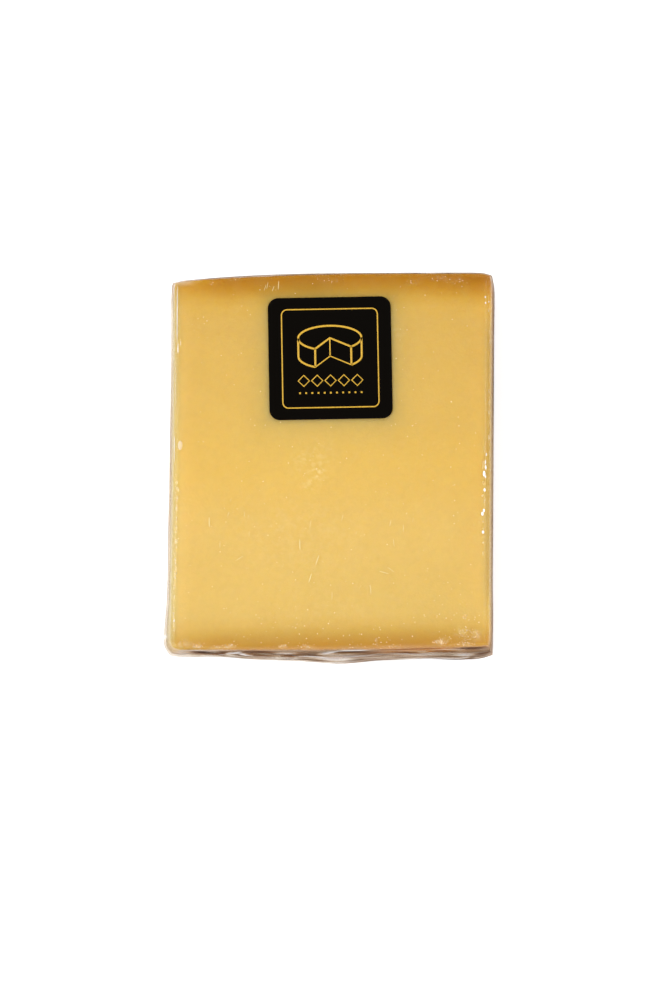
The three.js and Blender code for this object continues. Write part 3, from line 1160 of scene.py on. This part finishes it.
@dataclass
class AirBeadsAndGlints:
    """The beads along the left and right rims, with the fine lines where the film folds over: milky white
    that paints the glints of the lights there.
    """

    plan: SlabPlan
    rim: dict[Side, float]
    height_share: float = 0.35
    raggedness: float = 0.22
    noise_size: float = 0.7
    run_seed: int = 23
    beads: tuple[Bead, ...] = (
        Bead(Side.RIGHT, 1.8, 1.3, 0.9, 0.35, 0.35),
        Bead(Side.RIGHT, -0.4, 1.55, 1.3, 0.35, 0.5),
        Bead(Side.RIGHT, -1.9, 1.45, 1.3, 0.45, 0.8),
        Bead(Side.RIGHT, -3.7, 1.9, 1.6, 0.7, 1.0),
        Bead(Side.RIGHT, -4.6, 1.5, 0.8, 0.4, 0.7),
        Bead(Side.RIGHT, -8.3, 1.75, 0.95, 0.62, 0.95),
        Bead(Side.RIGHT, -10.0, 2.4, 0.5, 0.3, 0.2),
        Bead(Side.RIGHT, -14.2, 1.95, 1.0, 0.5, 0.9),
        Bead(Side.RIGHT, -15.1, 2.35, 1.1, 0.65, 0.95),
        Bead(Side.RIGHT, -17.4, 2.15, 0.5, 0.3, 0.25),
        Bead(Side.RIGHT, -20.3, 2.15, 0.9, 0.65, 0.95),
        Bead(Side.RIGHT, -23.3, 2.1, 0.6, 0.45, 0.18),
        Bead(Side.RIGHT, 46.9, 1.8, 0.55, 0.4, 0.5),
        Bead(Side.RIGHT, 45.2, 1.7, 0.5, 0.4, 0.5),
        Bead(Side.RIGHT, 45.6, 0.8, 0.5, 0.35, 0.4),
        Bead(Side.LEFT, 41.9, 0.9, 16.5, 0.24, 0.42),
        Bead(Side.LEFT, 32.2, 1.2, 3.0, 0.28, 0.35),
        Bead(Side.LEFT, 33.6, 1.9, 1.6, 0.2, 0.25),
        Bead(Side.LEFT, 22.0, 0.65, 15.0, 0.2, 0.2),
        Bead(Side.LEFT, 3.4, 0.45, 7.7, 0.22, 0.4),
        Bead(Side.LEFT, 4.4, 2.1, 2.6, 1.3, 0.25),
        Bead(Side.LEFT, -45.4, 1.2, 0.9, 0.4, 0.35),
        Bead(Side.LEFT, -44.3, 1.0, 0.6, 0.3, 0.25),
    )

    runs: tuple[BeadRun, ...] = (
        BeadRun(Side.LEFT, 34, -37, -6, 1.35, 0.13),
        BeadRun(Side.LEFT, 10, -50, -38, 1.2, 0.1),
        BeadRun(Side.RIGHT, 22, -30, 4, 2.0, 0.08),
        BeadRun(Side.RIGHT, 12, -45, 50, 0.5, 0.08),
    )

    def drawn(self) -> list[Bead]:
        """All beads: the named ones, and runs of small ones drawn along both rims."""
        draw = np.random.default_rng(self.run_seed)
        beads = list(self.beads)
        for run in self.runs:
            for _ in range(run.count):
                length = draw.uniform(*run.length)
                beads.append(
                    Bead(
                        side=run.side,
                        y=draw.uniform(run.low, run.high),
                        inset=run.inset + draw.normal(0, run.inset_spread),
                        length=length,
                        width=length * draw.uniform(*run.slimness),
                        milk=run.milk * draw.uniform(*run.milk_share),
                    )
                )
        return beads

    def _base(self) -> bpy.types.Mesh:
        """Makes a mesh of loose points, one for each bead, with its sizes as attributes."""
        beads = self.drawn()
        rows, leans = [], []
        for bead in beads:
            radius = self.rim[bead.side]
            outward = 1 if bead.side is Side.RIGHT else -1
            edge = self.plan.side_edges(np.array(bead.y))[bead.side is Side.RIGHT]
            past = max(radius - bead.inset, 0.0)
            lean = math.asin(min(past / radius, 1.0))
            z = self.plan.thickness - radius * (1 - math.cos(lean))
            rows.append((edge - outward * bead.inset, bead.y, z))
            leans.append(outward * lean)
        made = bpy.data.meshes.new("bead_places")
        made.from_pydata(self.plan.placed(np.array(rows, dtype=float)).tolist(), [], [])
        width = np.array([bead.width for bead in beads]) * MM
        mark(made, "bead_width", width)
        mark(made, "bead_length", np.array([bead.length for bead in beads]) * MM)
        mark(made, "bead_height", width * self.height_share)
        mark(made, "bead_lean", np.array(leans))
        mark(made, "milk", np.array([bead.milk for bead in beads]))
        return made

    def build(self, material: bpy.types.Material) -> bpy.types.Object:
        """Grows one ragged lens on each point.

        Args:
            material: The film's material.

        Returns:
            All beads as one piece.
        """
        shape = ShapeTree(
            "beads of air", {"Raggedness": self.raggedness * MM, "Noise size": self.noise_size * MM}
        )
        tree, start = shape.tree, shape.start
        own = {name: held(tree, f"bead_{name}") for name in ("width", "length", "height", "lean")}
        about = result(tree, "ShaderNodeCombineXYZ", Y=own["lean"])
        placed = result(
            tree, "GeometryNodeInstanceOnPoints",
            Points=result(tree, "GeometryNodeMeshToPoints", Mesh=start["Geometry"]),
            Instance=result(tree, "GeometryNodeMeshIcoSphere", Radius=0.5, Subdivisions=4),
            Rotation=result(tree, "FunctionNodeEulerToRotation", i0=about),
            Scale=result(tree, "ShaderNodeCombineXYZ", X=own["width"], Y=own["length"], Z=own["height"]),
        )
        ragged = roughen(tree, placed, start["Noise size"], start["Raggedness"], (1.0, 1.0, 1.0))
        shape.end(ragged, material)
        return shape.grow("air_beads", self._base())


@dataclass(frozen=True)
class Finish:
    """A finish: starts an empty material that its own make method fills."""

    name: str

    def start(self) -> tuple[bpy.types.Material, Any, Socket]:
        """Starts the material.

        Returns:
            The material, its node tree, and places in the piece's own axes to lay patterns by.
        """
        material = bpy.data.materials.new(self.name)
        material.use_nodes = True
        tree = material.node_tree
        tree.nodes.clear()
        return material, tree, add_node(tree, "ShaderNodeTexCoord").outputs["Object"]


@dataclass(frozen=True)
class CheesePaste(Finish):
    """Pressed cooked-curd paste cut by wire: waxy and a little translucent, browner towards the rinds."""

    name: str = "cooked curd paste and washed rind"
    ramp_depth: float = 60.0
    far_stops: tuple[tuple[float, str], ...] = (
        (0.0, "#99650a"),
        (2.0, "#ac7817"),
        (4.0, "#b88827"),
        (6.5, "#c49c42"),
        (9.0, "#caa550"),
        (13.0, "#caa757"),
        (36.0, "#ceac5b"),
        (60.0, "#d3b05a"),
    )
    near_stops: tuple[tuple[float, str], ...] = (
        (0.0, "#b4844d"),
        (1.5, "#b08431"),
        (3.4, "#b99140"),
        (5.2, "#c29f4e"),
        (7.0, "#caa85a"),
        (10.0, "#cfb064"),
        (15.0, "#d1b265"),
        (34.0, "#d3b366"),
    )
    rind_dark: str = "#5d4431"
    rind_light: str = "#a9835f"
    thin_colour: str = "#cf8f3c"
    bloom_colour: str = "#efd2a2"
    bloom_share: float = 0.25
    whey_tint: tuple[float, float, float] = (0.16, 0.36, 1.3)
    pale_tint: tuple[float, float, float] = (0.0, 0.3, 1.0)
    deep_shadow: tuple[float, float, float, float] = (0.0, 0.03, 0.3, 1.0)
    scatter_scale: float = 0.008

    def _band(self, tree: Any, tone: str, stops: tuple[tuple[float, str], ...]) -> Socket:
        """The paste's colour by the tone behind one rind."""
        share = remap(tree, painted(tree, tone), (0.0, self.ramp_depth), (0.0, 1.0))
        return colour_ramp(tree, share, [(depth / self.ramp_depth, code) for depth, code in stops])

    def _paste(self, tree: Any, place: Socket, near_depth: Socket) -> Socket:
        """The paste's own colour, mottled as its curd is.

        Args:
            tree: The material's tree.
            place: Places in the block's axes.
            near_depth: The depth behind the near rind.

        Returns:
            The colour's socket.
        """
        far = self._band(tree, "far_tone", self.far_stops)
        near = self._band(tree, "near_tone", self.near_stops)
        paste = blend(tree, remap(tree, near_depth, (30.0, 58.0), (0.0, 1.0), soft=True), near, far)
        # Broad mottling, as the curd shows faintly through.
        tone = remap(tree, noise(tree, place, 0.12, 5.0, 0.62)[0], (0.3, 0.7), (0.985, 1.015))
        toned = blend(tree, 1.0, paste, tone, multiply=True)
        # Fine mottling of the hue.
        hues = add_node(
            tree, "ShaderNodeMapRange", {"data_type": "FLOAT_VECTOR"},
            Vector=noise(tree, place, 0.7, 4.0, 0.7)[1], i7=(0.3, 0.3, 0.3), i8=(0.7, 0.7, 0.7),
            i9=(0.99, 0.985, 0.95), i10=(1.01, 1.015, 1.05),
        )
        return blend(tree, 1.0, toned, hues.outputs[1], multiply=True)

    def _face(self, tree: Any, place: Socket, paste: Socket) -> Socket:
        """What lies on the paste or dries it: whey, crumbs, pale places, and painted shade.

        Args:
            tree: The material's tree.
            place: Places in the block's axes.
            paste: The paste's own colour.

        Returns:
            The colour's socket.
        """
        # Whey dried under the film leaves paler dabs.
        dabs = remap(tree, noise(tree, place, 0.65, 4.0, 0.6)[0], (0.44, 0.66), (0.0, 1.0), soft=True)
        whey = calculate(tree, "MULTIPLY", painted(tree, "dried"), dabs)
        lighter = vectors(tree, "MULTIPLY_ADD", i0=whey, i1=self.whey_tint, i2=(1.0, 1.0, 1.0))
        marked = blend(tree, 1.0, paste, lighter, multiply=True)
        # Pale bloom of fine crumbs, pressed flat by the film.
        bloom = painted(tree, "bloom")
        crumbly = calculate(tree, "MULTIPLY_ADD", bloom, 0.3, noise(tree, place, 1.7, 6.0, 0.75)[0])
        pressed = remap(tree, crumbly, (0.54, 0.7), (0.0, self.bloom_share))
        shown = calculate(tree, "MULTIPLY", pressed, bloom, clamp=True)
        bloomed = blend(tree, shown, marked, srgb(self.bloom_colour))
        # The paste turns paler, so greener and bluer, at the left rim, in patches and in the painted shadow
        # round the sticker; it turns warmer at the right rim and with the painted shade towards the right.
        hue = vectors(
            tree, "MULTIPLY_ADD", i0=painted(tree, "paleness"), i1=self.pale_tint, i2=(1.0, 1.0, 1.0)
        )
        tinted = blend(tree, 1.0, bloomed, hue, multiply=True)
        # Painted shade: darker round the sticker's edge, where the sticker keeps light out of the paste, at
        # the rims, in a patch beside the sticker and a little towards the right.
        lit = blend(tree, painted(tree, "shadow"), (1.0, 1.0, 1.0, 1.0), self.deep_shadow)
        return blend(tree, 1.0, tinted, lit, multiply=True)

    def _rind(self, tree: Any, place: Socket) -> Socket:
        """The rind's colour: streaky, and golden where the rind is thin."""
        layers = streaks(tree, place, 0.12, 0.9, 4.0)
        streaky = remap(tree, layers, (0.35, 0.65), (0.0, 1.0))
        brown = blend(tree, streaky, srgb(self.rind_dark), srgb(self.rind_light))
        showing = remap(tree, layers, (0.3, 0.6), (0.25, 1.0))
        golden = calculate(tree, "MULTIPLY", painted(tree, "thin_rind"), showing)
        return blend(tree, golden, brown, srgb(self.thin_colour))

    def make(self) -> bpy.types.Material:
        """Builds the material."""
        material, tree, place = self.start()
        far_depth, near_depth = painted(tree, "far_depth"), painted(tree, "near_depth")
        face = self._face(tree, place, self._paste(tree, place, near_depth))
        # The rind's edge is ragged by its grain.
        grain = noise(tree, place, 0.65, 5.0, 0.7)[0]
        ragged = calculate(
            tree, "MULTIPLY_ADD", grain, -0.8, calculate(tree, "MINIMUM", far_depth, near_depth)
        )
        is_rind = remap(tree, ragged, (-0.55, -0.05), (1.0, 0.0), soft=True)
        bump = bumped(tree, noise(tree, place, 1.4, 3.0)[0], 0.25, 0.2)
        shader = add_node(
            tree, "ShaderNodeBsdfPrincipled",
            Base_Color=blend(tree, is_rind, face, self._rind(tree, place)),
            Roughness=remap(tree, is_rind, (0.0, 1.0), (0.42, 0.8)), IOR=1.2, Normal=bump,
            Subsurface_Weight=1.0, Subsurface_Radius=(1.0, 0.92, 0.8), Subsurface_Scale=self.scatter_scale,
        )
        add_node(tree, "ShaderNodeOutputMaterial", Surface=shader.outputs[0])
        return material


@dataclass(frozen=True)
class CurdGrain(Finish):
    """Dry curd or salt crystal: dull, paler than the paste it lies on, softly uneven."""

    colour: str = "#dcc07c"
    dark: str = "#c9a25a"

    def make(self) -> bpy.types.Material:
        """Builds the material."""
        material, tree, place = self.start()
        uneven = noise(tree, place, 1.5)[0]
        colour = blend(tree, uneven, srgb(self.dark), srgb(self.colour))
        shader = add_node(tree, "ShaderNodeBsdfPrincipled", Base_Color=colour, Roughness=0.7, IOR=1.2)
        add_node(tree, "ShaderNodeOutputMaterial", Surface=shader.outputs[0])
        return material


@dataclass(frozen=True)
class ShrinkFilm(Finish):
    """Clear shrunk polyethylene film: glossy where it turns away, milky where it gathers in layers, with
    painted gleams in the milk and painted shade in its see-through colour.
    """

    name: str = "clear shrink film"
    roughness: float = 0.1
    milk_colour: str = "#d2ccc9"
    thin_milk_colour: str = "#efe0b4"
    crumb_colour: str = "#f6deb8"
    painted_shade_colours: tuple[str, ...] = ("#ffffff", "#ddd1c5", "#b39e8a", "#86694f", "#54402f")
    gloss: float = 0.15
    evenness: float = 0.5

    def _crumbs(self, tree: Any, place: Socket) -> Socket:
        """How far fine crumbs, pressed to the film, cover it."""
        dust = painted(tree, "dust")
        crumbly = calculate(tree, "MULTIPLY_ADD", dust, 0.07, noise(tree, place, 1.8, 5.0, 0.75)[0])
        return calculate(
            tree, "MULTIPLY", remap(tree, crumbly, (0.54, 0.6), (0.0, 0.8)), dust, clamp=True
        )

    def make(self) -> bpy.types.Material:
        """Builds the material."""
        material, tree, place = self.start()
        # On the sides the film's layers make streaks.
        layers = streaks(tree, place, 0.12, 0.65, 3.0)
        cloud = remap(tree, layers, (0.35, 0.65), (self.evenness, 2.0 - self.evenness))
        milky = painted(tree, "milk")
        layered = calculate(tree, "MULTIPLY", milky, cloud)
        # On the face whey and air make a veil of dabs.
        dabs = remap(tree, noise(tree, place, 0.52, 3.0, 0.55)[0], (0.42, 0.64), (0.2, 2.2), soft=True)
        cover = calculate(tree, "MULTIPLY_ADD", painted(tree, "veil"), dabs, layered, clamp=True)
        # Painted shade: where the shade mark lies, the see-through colour turns brown to dark, for the
        # shade in deep folds and on the cheese's sides behind the film.
        shade = painted(tree, "shade")
        deep = calculate(tree, "MULTIPLY", shade, remap(tree, cloud, (0.0, 2.0), (1.3, 0.7)), clamp=True)
        last = len(self.painted_shade_colours) - 1
        tint = colour_ramp(tree, deep, [(k / last, code) for k, code in enumerate(self.painted_shade_colours)])
        clear = result(tree, "ShaderNodeBsdfTransparent", Color=tint)
        # The milky white stands for the film's milky layers and paints the gleams where the film catches
        # the lights.
        thick = remap(tree, milky, (0.0, 0.35), (0.0, 1.0))
        warmth = blend(tree, thick, srgb(self.thin_milk_colour), srgb(self.milk_colour))
        white = result(tree, "ShaderNodeBsdfDiffuse", Color=warmth, Roughness=0.0)
        milk = result(tree, "ShaderNodeMixShader", i0=cover, i1=clear, i2=white)
        crumbs = result(tree, "ShaderNodeBsdfDiffuse", Color=srgb(self.crumb_colour), Roughness=0.0)
        dusty = result(tree, "ShaderNodeMixShader", i0=self._crumbs(tree, place), i1=milk, i2=crumbs)
        # The gloss is lost where the painted shade lies.
        bump = bumped(tree, noise(tree, place, 0.5, 3.0)[0], 0.35, 0.2)
        gloss = result(
            tree, "ShaderNodeBsdfGlossy", Color=(1.0, 1.0, 1.0, 1.0), Roughness=self.roughness, Normal=bump
        )
        facing = result(tree, "ShaderNodeFresnel", IOR=1.33, Normal=bump)
        mirrored = calculate(tree, "MULTIPLY", facing, remap(tree, shade, (0.0, 1.0), (self.gloss, 0.0)))
        film = result(tree, "ShaderNodeMixShader", i0=mirrored, i1=dusty, i2=gloss)
        add_node(tree, "ShaderNodeOutputMaterial", Surface=film)
        return material


@dataclass(frozen=True)
class CoatedPaper(Finish):
    """Black coated sticker paper: near black with a satin face."""

    name: str = "black coated paper"
    colour: str = "#080604"

    def make(self) -> bpy.types.Material:
        """Builds the material."""
        material, tree, place = self.start()
        bump = bumped(tree, noise(tree, place, 2.5)[0], 0.1, 0.1)
        shader = add_node(
            tree, "ShaderNodeBsdfPrincipled",
            Base_Color=srgb(self.colour), Roughness=0.22, IOR=1.2, Specular_IOR_Level=0.3, Normal=bump,
        )
        add_node(tree, "ShaderNodeOutputMaterial", Surface=shader.outputs[0])
        return material


@dataclass(frozen=True)
class GoldInk(Finish):
    """Gold printing ink: a warm yellow with fine metal flake, duller than foil."""

    name: str = "gold printing ink"
    colour: str = "#c69b2e"

    def make(self) -> bpy.types.Material:
        """Builds the material."""
        material, tree, place = self.start()
        flake = remap(tree, noise(tree, place, 4.0)[0], (0.3, 0.7), (0.75, 1.2))
        colour = blend(tree, 1.0, srgb(self.colour), flake, multiply=True)
        shader = add_node(tree, "ShaderNodeBsdfPrincipled", Base_Color=colour, Roughness=0.5, IOR=1.35)
        add_node(tree, "ShaderNodeOutputMaterial", Surface=shader.outputs[0])
        return material


@dataclass(frozen=True)
class Stroke:
    """A line of the print through points in the sticker's own axes, in millimetres."""

    points: tuple[tuple[float, float], ...]
    width: float
    closed: bool = False


@dataclass
class Sticker:
    """The square sticker: a thin plate with round corners, and its gold print."""

    plan: SlabPlan
    side: float = 35.0
    corner_radius: float = 3.0
    thickness: float = 0.15
    lift: float = 0.02
    turn: float = 1.05
    corner_steps: int = 12
    edge_round: float = 0.04
    frame_width: float = 27.3
    frame_height: float = 28.2
    frame_radius: float = 1.6
    fine_line: float = 0.34
    line: float = 0.55
    ink_share: float = 0.08
    oval_steps: int = 40
    wheel_width: float = 9.0
    wheel_depth: float = 3.5
    wheel_height: float = 5.2
    wheel_y: float = 5.8
    cut_from: float = -118.0
    cut_to: float = -48.0
    lozenge_count: int = 5
    lozenge_pitch: float = 3.8
    lozenge_size: float = 3.2
    lozenge_y: float = -6.4
    dot_count: int = 11
    dot_pitch: float = 1.75
    dot_size: float = 0.5
    dot_y: float = -9.9

    def _pose(self, height: float) -> Matrix:
        """Turns and places a mesh drawn round the sticker's middle, at a height above the film."""
        plan = self.plan
        place = plan.placed(np.array([plan.label_x, plan.label_y, plan.thickness + height]))
        return Matrix.Translation(Vector(place)) @ Matrix.Rotation(math.radians(self.turn), 4, "Z")

    @staticmethod
    def _rounded(width: float, height: float, radius: float, steps: int) -> list[tuple[float, float]]:
        """Points round a rectangle with round corners, anticlockwise."""
        points = []
        for quarter, (sx, sy) in enumerate(((1, 1), (-1, 1), (-1, -1), (1, -1))):
            x, y = sx * (width / 2 - radius), sy * (height / 2 - radius)
            for step in range(steps + 1):
                a = (quarter + step / steps) * math.pi / 2
                points.append((x + radius * math.cos(a), y + radius * math.sin(a)))
        return points

    def plate(self, material: bpy.types.Material) -> bpy.types.Object:
        """Makes the black plate, its upper edge a little rounded.

        Args:
            material: The paper's material.

        Returns:
            The plate.
        """
        soft = self.edge_round
        rings = []
        for inset, z in ((0.0, 0.0), (0.0, self.thickness - soft), (soft, self.thickness)):
            side, radius = self.side - 2 * inset, self.corner_radius - inset
            rings.append([(x, y, z) for x, y in self._rounded(side, side, radius, self.corner_steps)])
        count = len(rings[0])
        faces = [tuple(reversed(range(count))), tuple(range(2 * count, 3 * count))]
        for low in (0, count):
            faces += [
                (low + k, low + (k + 1) % count, low + count + (k + 1) % count, low + count + k)
                for k in range(count)
            ]
        mesh = bpy.data.meshes.new("sticker")
        mesh.from_pydata((np.array(rings).reshape(-1, 3) * MM).tolist(), [], faces)
        mesh.transform(self._pose(self.lift))
        mesh.materials.append(material)
        return add_object("sticker", mesh)

    def _ellipse(self, start: float, stop: float, y: float) -> tuple[tuple[float, float], ...]:
        """Points of the wheel's oval from one angle in degrees to another, about a height."""
        angles = np.radians(np.linspace(start, stop, self.oval_steps))
        return tuple((self.wheel_width * math.cos(a), y + self.wheel_depth * math.sin(a)) for a in angles)

    def _wheel(self) -> list[Stroke]:
        """The figure of a wheel with a wedge taken out."""
        top, floor = self.wheel_y, self.wheel_y - self.wheel_height
        rim = self._ellipse(self.cut_to, self.cut_from + 360, top)
        left_foot = self._ellipse(180, 360 + self.cut_from, floor)
        right_foot = self._ellipse(self.cut_to, 0, floor)
        cut_left, cut_right = rim[-1], rim[0]
        middle, low = (0.0, top), (0.0, floor)
        drop = self.wheel_height
        strokes = [
            Stroke(rim, self.line),
            Stroke(left_foot, self.line),
            Stroke(right_foot, self.line),
            Stroke((cut_left, middle, cut_right), self.line),
            Stroke((middle, low), self.fine_line),
            Stroke((left_foot[-1], low, right_foot[0]), self.fine_line),
        ]
        for x, y in ((-self.wheel_width, top), (self.wheel_width, top), cut_left, cut_right):
            strokes.append(Stroke(((x, y), (x, y - drop)), self.line))
        return strokes

    def strokes(self) -> list[Stroke]:
        """All lines of the print: frame, wheel, a chain of lozenges and a row of dots."""
        frame_points = self._rounded(self.frame_width, self.frame_height, self.frame_radius, 6)
        strokes = [Stroke(tuple(frame_points), self.fine_line, closed=True)]
        strokes += self._wheel()
        half = self.lozenge_size / 2
        for k in range(self.lozenge_count):
            x = (k - (self.lozenge_count - 1) / 2) * self.lozenge_pitch
            corners = ((x - half, 0), (x, half), (x + half, 0), (x, -half))
            strokes.append(Stroke(tuple((a, self.lozenge_y + b) for a, b in corners), self.fine_line, True))
        for k in range(self.dot_count):
            x = (k - (self.dot_count - 1) / 2) * self.dot_pitch
            half = self.dot_size / 2
            strokes.append(Stroke(((x - half, self.dot_y), (x + half, self.dot_y)), self.dot_size))
        return strokes

    def print(self, material: bpy.types.Material) -> bpy.types.Object:
        """Draws every stroke with a pen as wide as the stroke says.

        Args:
            material: The ink's material.

        Returns:
            The print as one piece.
        """
        points, edges, widths = [], [], []
        for stroke in self.strokes():
            first = len(points)
            points += [(x * MM, y * MM, 0.0) for x, y in stroke.points]
            widths += [stroke.width * MM] * len(stroke.points)
            edges += [(k, k + 1) for k in range(first, len(points) - 1)]
            if stroke.closed:
                edges.append((len(points) - 1, first))
        base = bpy.data.meshes.new("pen_path")
        base.from_pydata(points, edges, [])
        mark(base, "pen_width", np.array(widths))
        shape = ShapeTree("pen line", {"Ink share": self.ink_share})
        tree, start = shape.tree, shape.start
        path = result(tree, "GeometryNodeMeshToCurve", Mesh=start["Geometry"])
        upright = result(tree, "GeometryNodeSetCurveNormal", {"mode": "Z_UP"}, Curve=path)
        pen = result(tree, "GeometryNodeCurvePrimitiveQuadrilateral", Width=1.0, Height=start["Ink share"])
        drawn = result(
            tree, "GeometryNodeCurveToMesh",
            Curve=upright, Profile_Curve=pen, Scale=held(tree, "pen_width"), Fill_Caps=True,
        )
        shape.end(drawn, material)
        made = shape.grow("gold_print", base)
        made.data.transform(self._pose(self.lift + self.thickness))
        return made


@dataclass(frozen=True)
class Softbox:
    """A soft light that looks at the slab: its place and size in metres, and its power in watts."""

    name: str
    place: tuple[float, float, float]
    size: tuple[float, float]
    power: float

    def hang(self) -> None:
        """Adds the light."""
        light = bpy.data.lights.new(self.name, "AREA")
        light.shape = "RECTANGLE"
        light.size, light.size_y = self.size
        light.energy = self.power
        made = add_object(self.name, light)
        made.location = self.place
        made.rotation_euler = (-Vector(self.place)).to_track_quat("-Z", "Y").to_euler()


@dataclass
class Studio:
    """The floor, the light and the camera."""

    plan: SlabPlan
    camera_height: float = 961.5
    camera_y: float = -101.0
    camera_tilt: float = 5.46
    lens: float = 120.0
    floor_half: float = 4.0
    floor_tone: float = 0.9
    floor_drop: float = 0.1
    floor_glow: float = 0.35
    softboxes: tuple[Softbox, ...] = (
        Softbox("left_softbox", (-0.85, -0.2, 0.8), (0.8, 0.8), 9.0),
        Softbox("right_strip", (0.62, 0.12, 0.85), (0.12, 0.25), 2.0),
    )
    room_light: float = 1.08
    overhead_light: float = 0.12
    overhead_edge: tuple[float, float] = (0.92, 0.975)

    def floor(self) -> bpy.types.Object:
        """Makes the pale floor: a white acrylic sheet, lit a little from below."""
        half = self.floor_half
        mesh = bpy.data.meshes.new("floor")
        corners = [(-half, -half, 0), (half, -half, 0), (half, half, 0), (-half, half, 0)]
        mesh.from_pydata(corners, [], [(0, 1, 2, 3)])
        mesh.transform(Matrix.Translation((0, 0, -self.floor_drop * MM)))
        material = bpy.data.materials.new("lit white acrylic")
        material.use_nodes = True
        shader = material.node_tree.nodes["Principled BSDF"]
        shader.inputs["Base Color"].default_value = (self.floor_tone,) * 3 + (1,)
        shader.inputs["Roughness"].default_value = 0.9
        shader.inputs["Emission Color"].default_value = (1, 1, 1, 1)
        shader.inputs["Emission Strength"].default_value = self.floor_glow
        mesh.materials.append(material)
        return add_object("floor", mesh)

    def light(self) -> None:
        """Hangs the lights, and lights the room: bright all round, dim straight above."""
        for softbox in self.softboxes:
            softbox.hang()
        world = bpy.data.worlds.new("studio")
        bpy.context.scene.world = world
        world.use_nodes = True
        tree = world.node_tree
        tree.nodes.clear()
        direction = add_node(tree, "ShaderNodeTexCoord").outputs["Generated"]
        split = add_node(tree, "ShaderNodeSeparateXYZ", i0=direction)
        high = remap(
            tree, split.outputs["Z"], self.overhead_edge, (self.room_light, self.overhead_light), soft=True
        )
        across = remap(tree, split.outputs["X"], (-1.0, 1.0), (1.12, 0.88))
        strength = calculate(tree, "MULTIPLY", high, across)
        glow = add_node(
            tree, "ShaderNodeBackground", Color=(0.98, 0.99, 1.0, 1.0), Strength=strength
        )
        add_node(tree, "ShaderNodeOutputWorld", Surface=glow.outputs[0])
        bpy.context.scene.view_settings.view_transform = "Standard"

    def camera(self) -> None:
        """Sets up the camera over the near rind, looking almost straight down."""
        data = bpy.data.cameras.new("camera")
        data.lens = self.lens
        data.clip_start, data.clip_end = 0.01, 20.0
        made = add_object("camera", data)
        made.location = self.plan.placed(np.array([0.0, self.camera_y, self.camera_height])).tolist()
        made.rotation_euler = (math.radians(self.camera_tilt), 0.0, 0.0)
        bpy.context.scene.camera = made


def declare(piece: bpy.types.Object, node: str) -> None:
    """Sets a finished piece on the slab's one body.

    Args:
        piece: The dressed piece.
        node: The frame's node that it stands for, alone or with others.
    """
    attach(piece, "root")
    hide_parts(node)
    log.info("%s: %d faces", piece.name, len(piece.data.polygons))


def main() -> None:
    """Builds the slab from the inside out, then the studio round it."""
    logging.basicConfig(level=logging.INFO, format="%(name)s: %(message)s")
    plan = SlabPlan()
    rim = {Side.RIGHT: 2.2, Side.FAR: 0.9, Side.LEFT: 1.7, Side.NEAR: 0.9}
    block = CheeseBlock(
        plan,
        spacing=0.8,
        face_gap=0.1,
        side_gap={Side.RIGHT: 0.12, Side.FAR: -0.05, Side.LEFT: 0.12, Side.NEAR: 0.12},
        base_gap=0.15,
        reach_share={Side.RIGHT: 0.85, Side.FAR: 0.4, Side.LEFT: 0.8, Side.NEAR: 0.6},
        rim=rim,
    )
    cheese = block.build(CheesePaste().make())
    declare(cheese, BLOCK)
    crumbs = Grains("rind_crumbs", "crumb_density", 0.1, 0.34, 0.3, seed=3)
    declare(crumbs.build(cheese, CurdGrain("dry curd crumbs", "#f0d6a8", "#d9ae74").make()), BLOCK)
    specks = Grains("curd_specks", "speck_density", 0.12, 0.32, 0.4, seed=4)
    declare(specks.build(cheese, CurdGrain("curd crystals", "#f9eecb", "#ecd99e").make()), BLOCK)
    whey = CurdGrain("dried whey", "#e0d09a", "#dccb90").make()
    scratches = Grains(
        "wire_marks", "scratch_density", 0.9, 3.2, 0.2, seed=11, raggedness=0.04,
        slimness=(0.04, 0.1), turns=(1.2, 1.7),
    )
    declare(scratches.build(cheese, whey), BLOCK)
    wrap = FilmWrap(
        plan,
        spacing=0.6,
        face_gap=0.0,
        side_gap={Side.RIGHT: 0.0, Side.FAR: -0.2, Side.LEFT: 0.0, Side.NEAR: 0.0},
        base_gap=0.0,
        reach_share=dict.fromkeys(Side, 1.0),
        rim=rim,
        inner=block,
        dust_patches=block.crumb_patches,
    )
    film = ShrinkFilm().make()
    declare(wrap.build(film), BLOCK)
    # The beads' milky white paints the glints of the lights on the rims.
    bead = ShrinkFilm(
        "air under film", milk_colour="#ffffff", thin_milk_colour="#ffe7a0", evenness=0.85
    ).make()
    declare(AirBeadsAndGlints(plan, rim).build(bead), BLOCK)
    sticker = Sticker(plan)
    declare(sticker.plate(CoatedPaper().make()), LABEL)
    declare(sticker.print(GoldInk().make()), LABEL)
    studio = Studio(plan)
    studio.floor()
    studio.light()
    studio.camera()


if __name__ == "__main__":
    main()
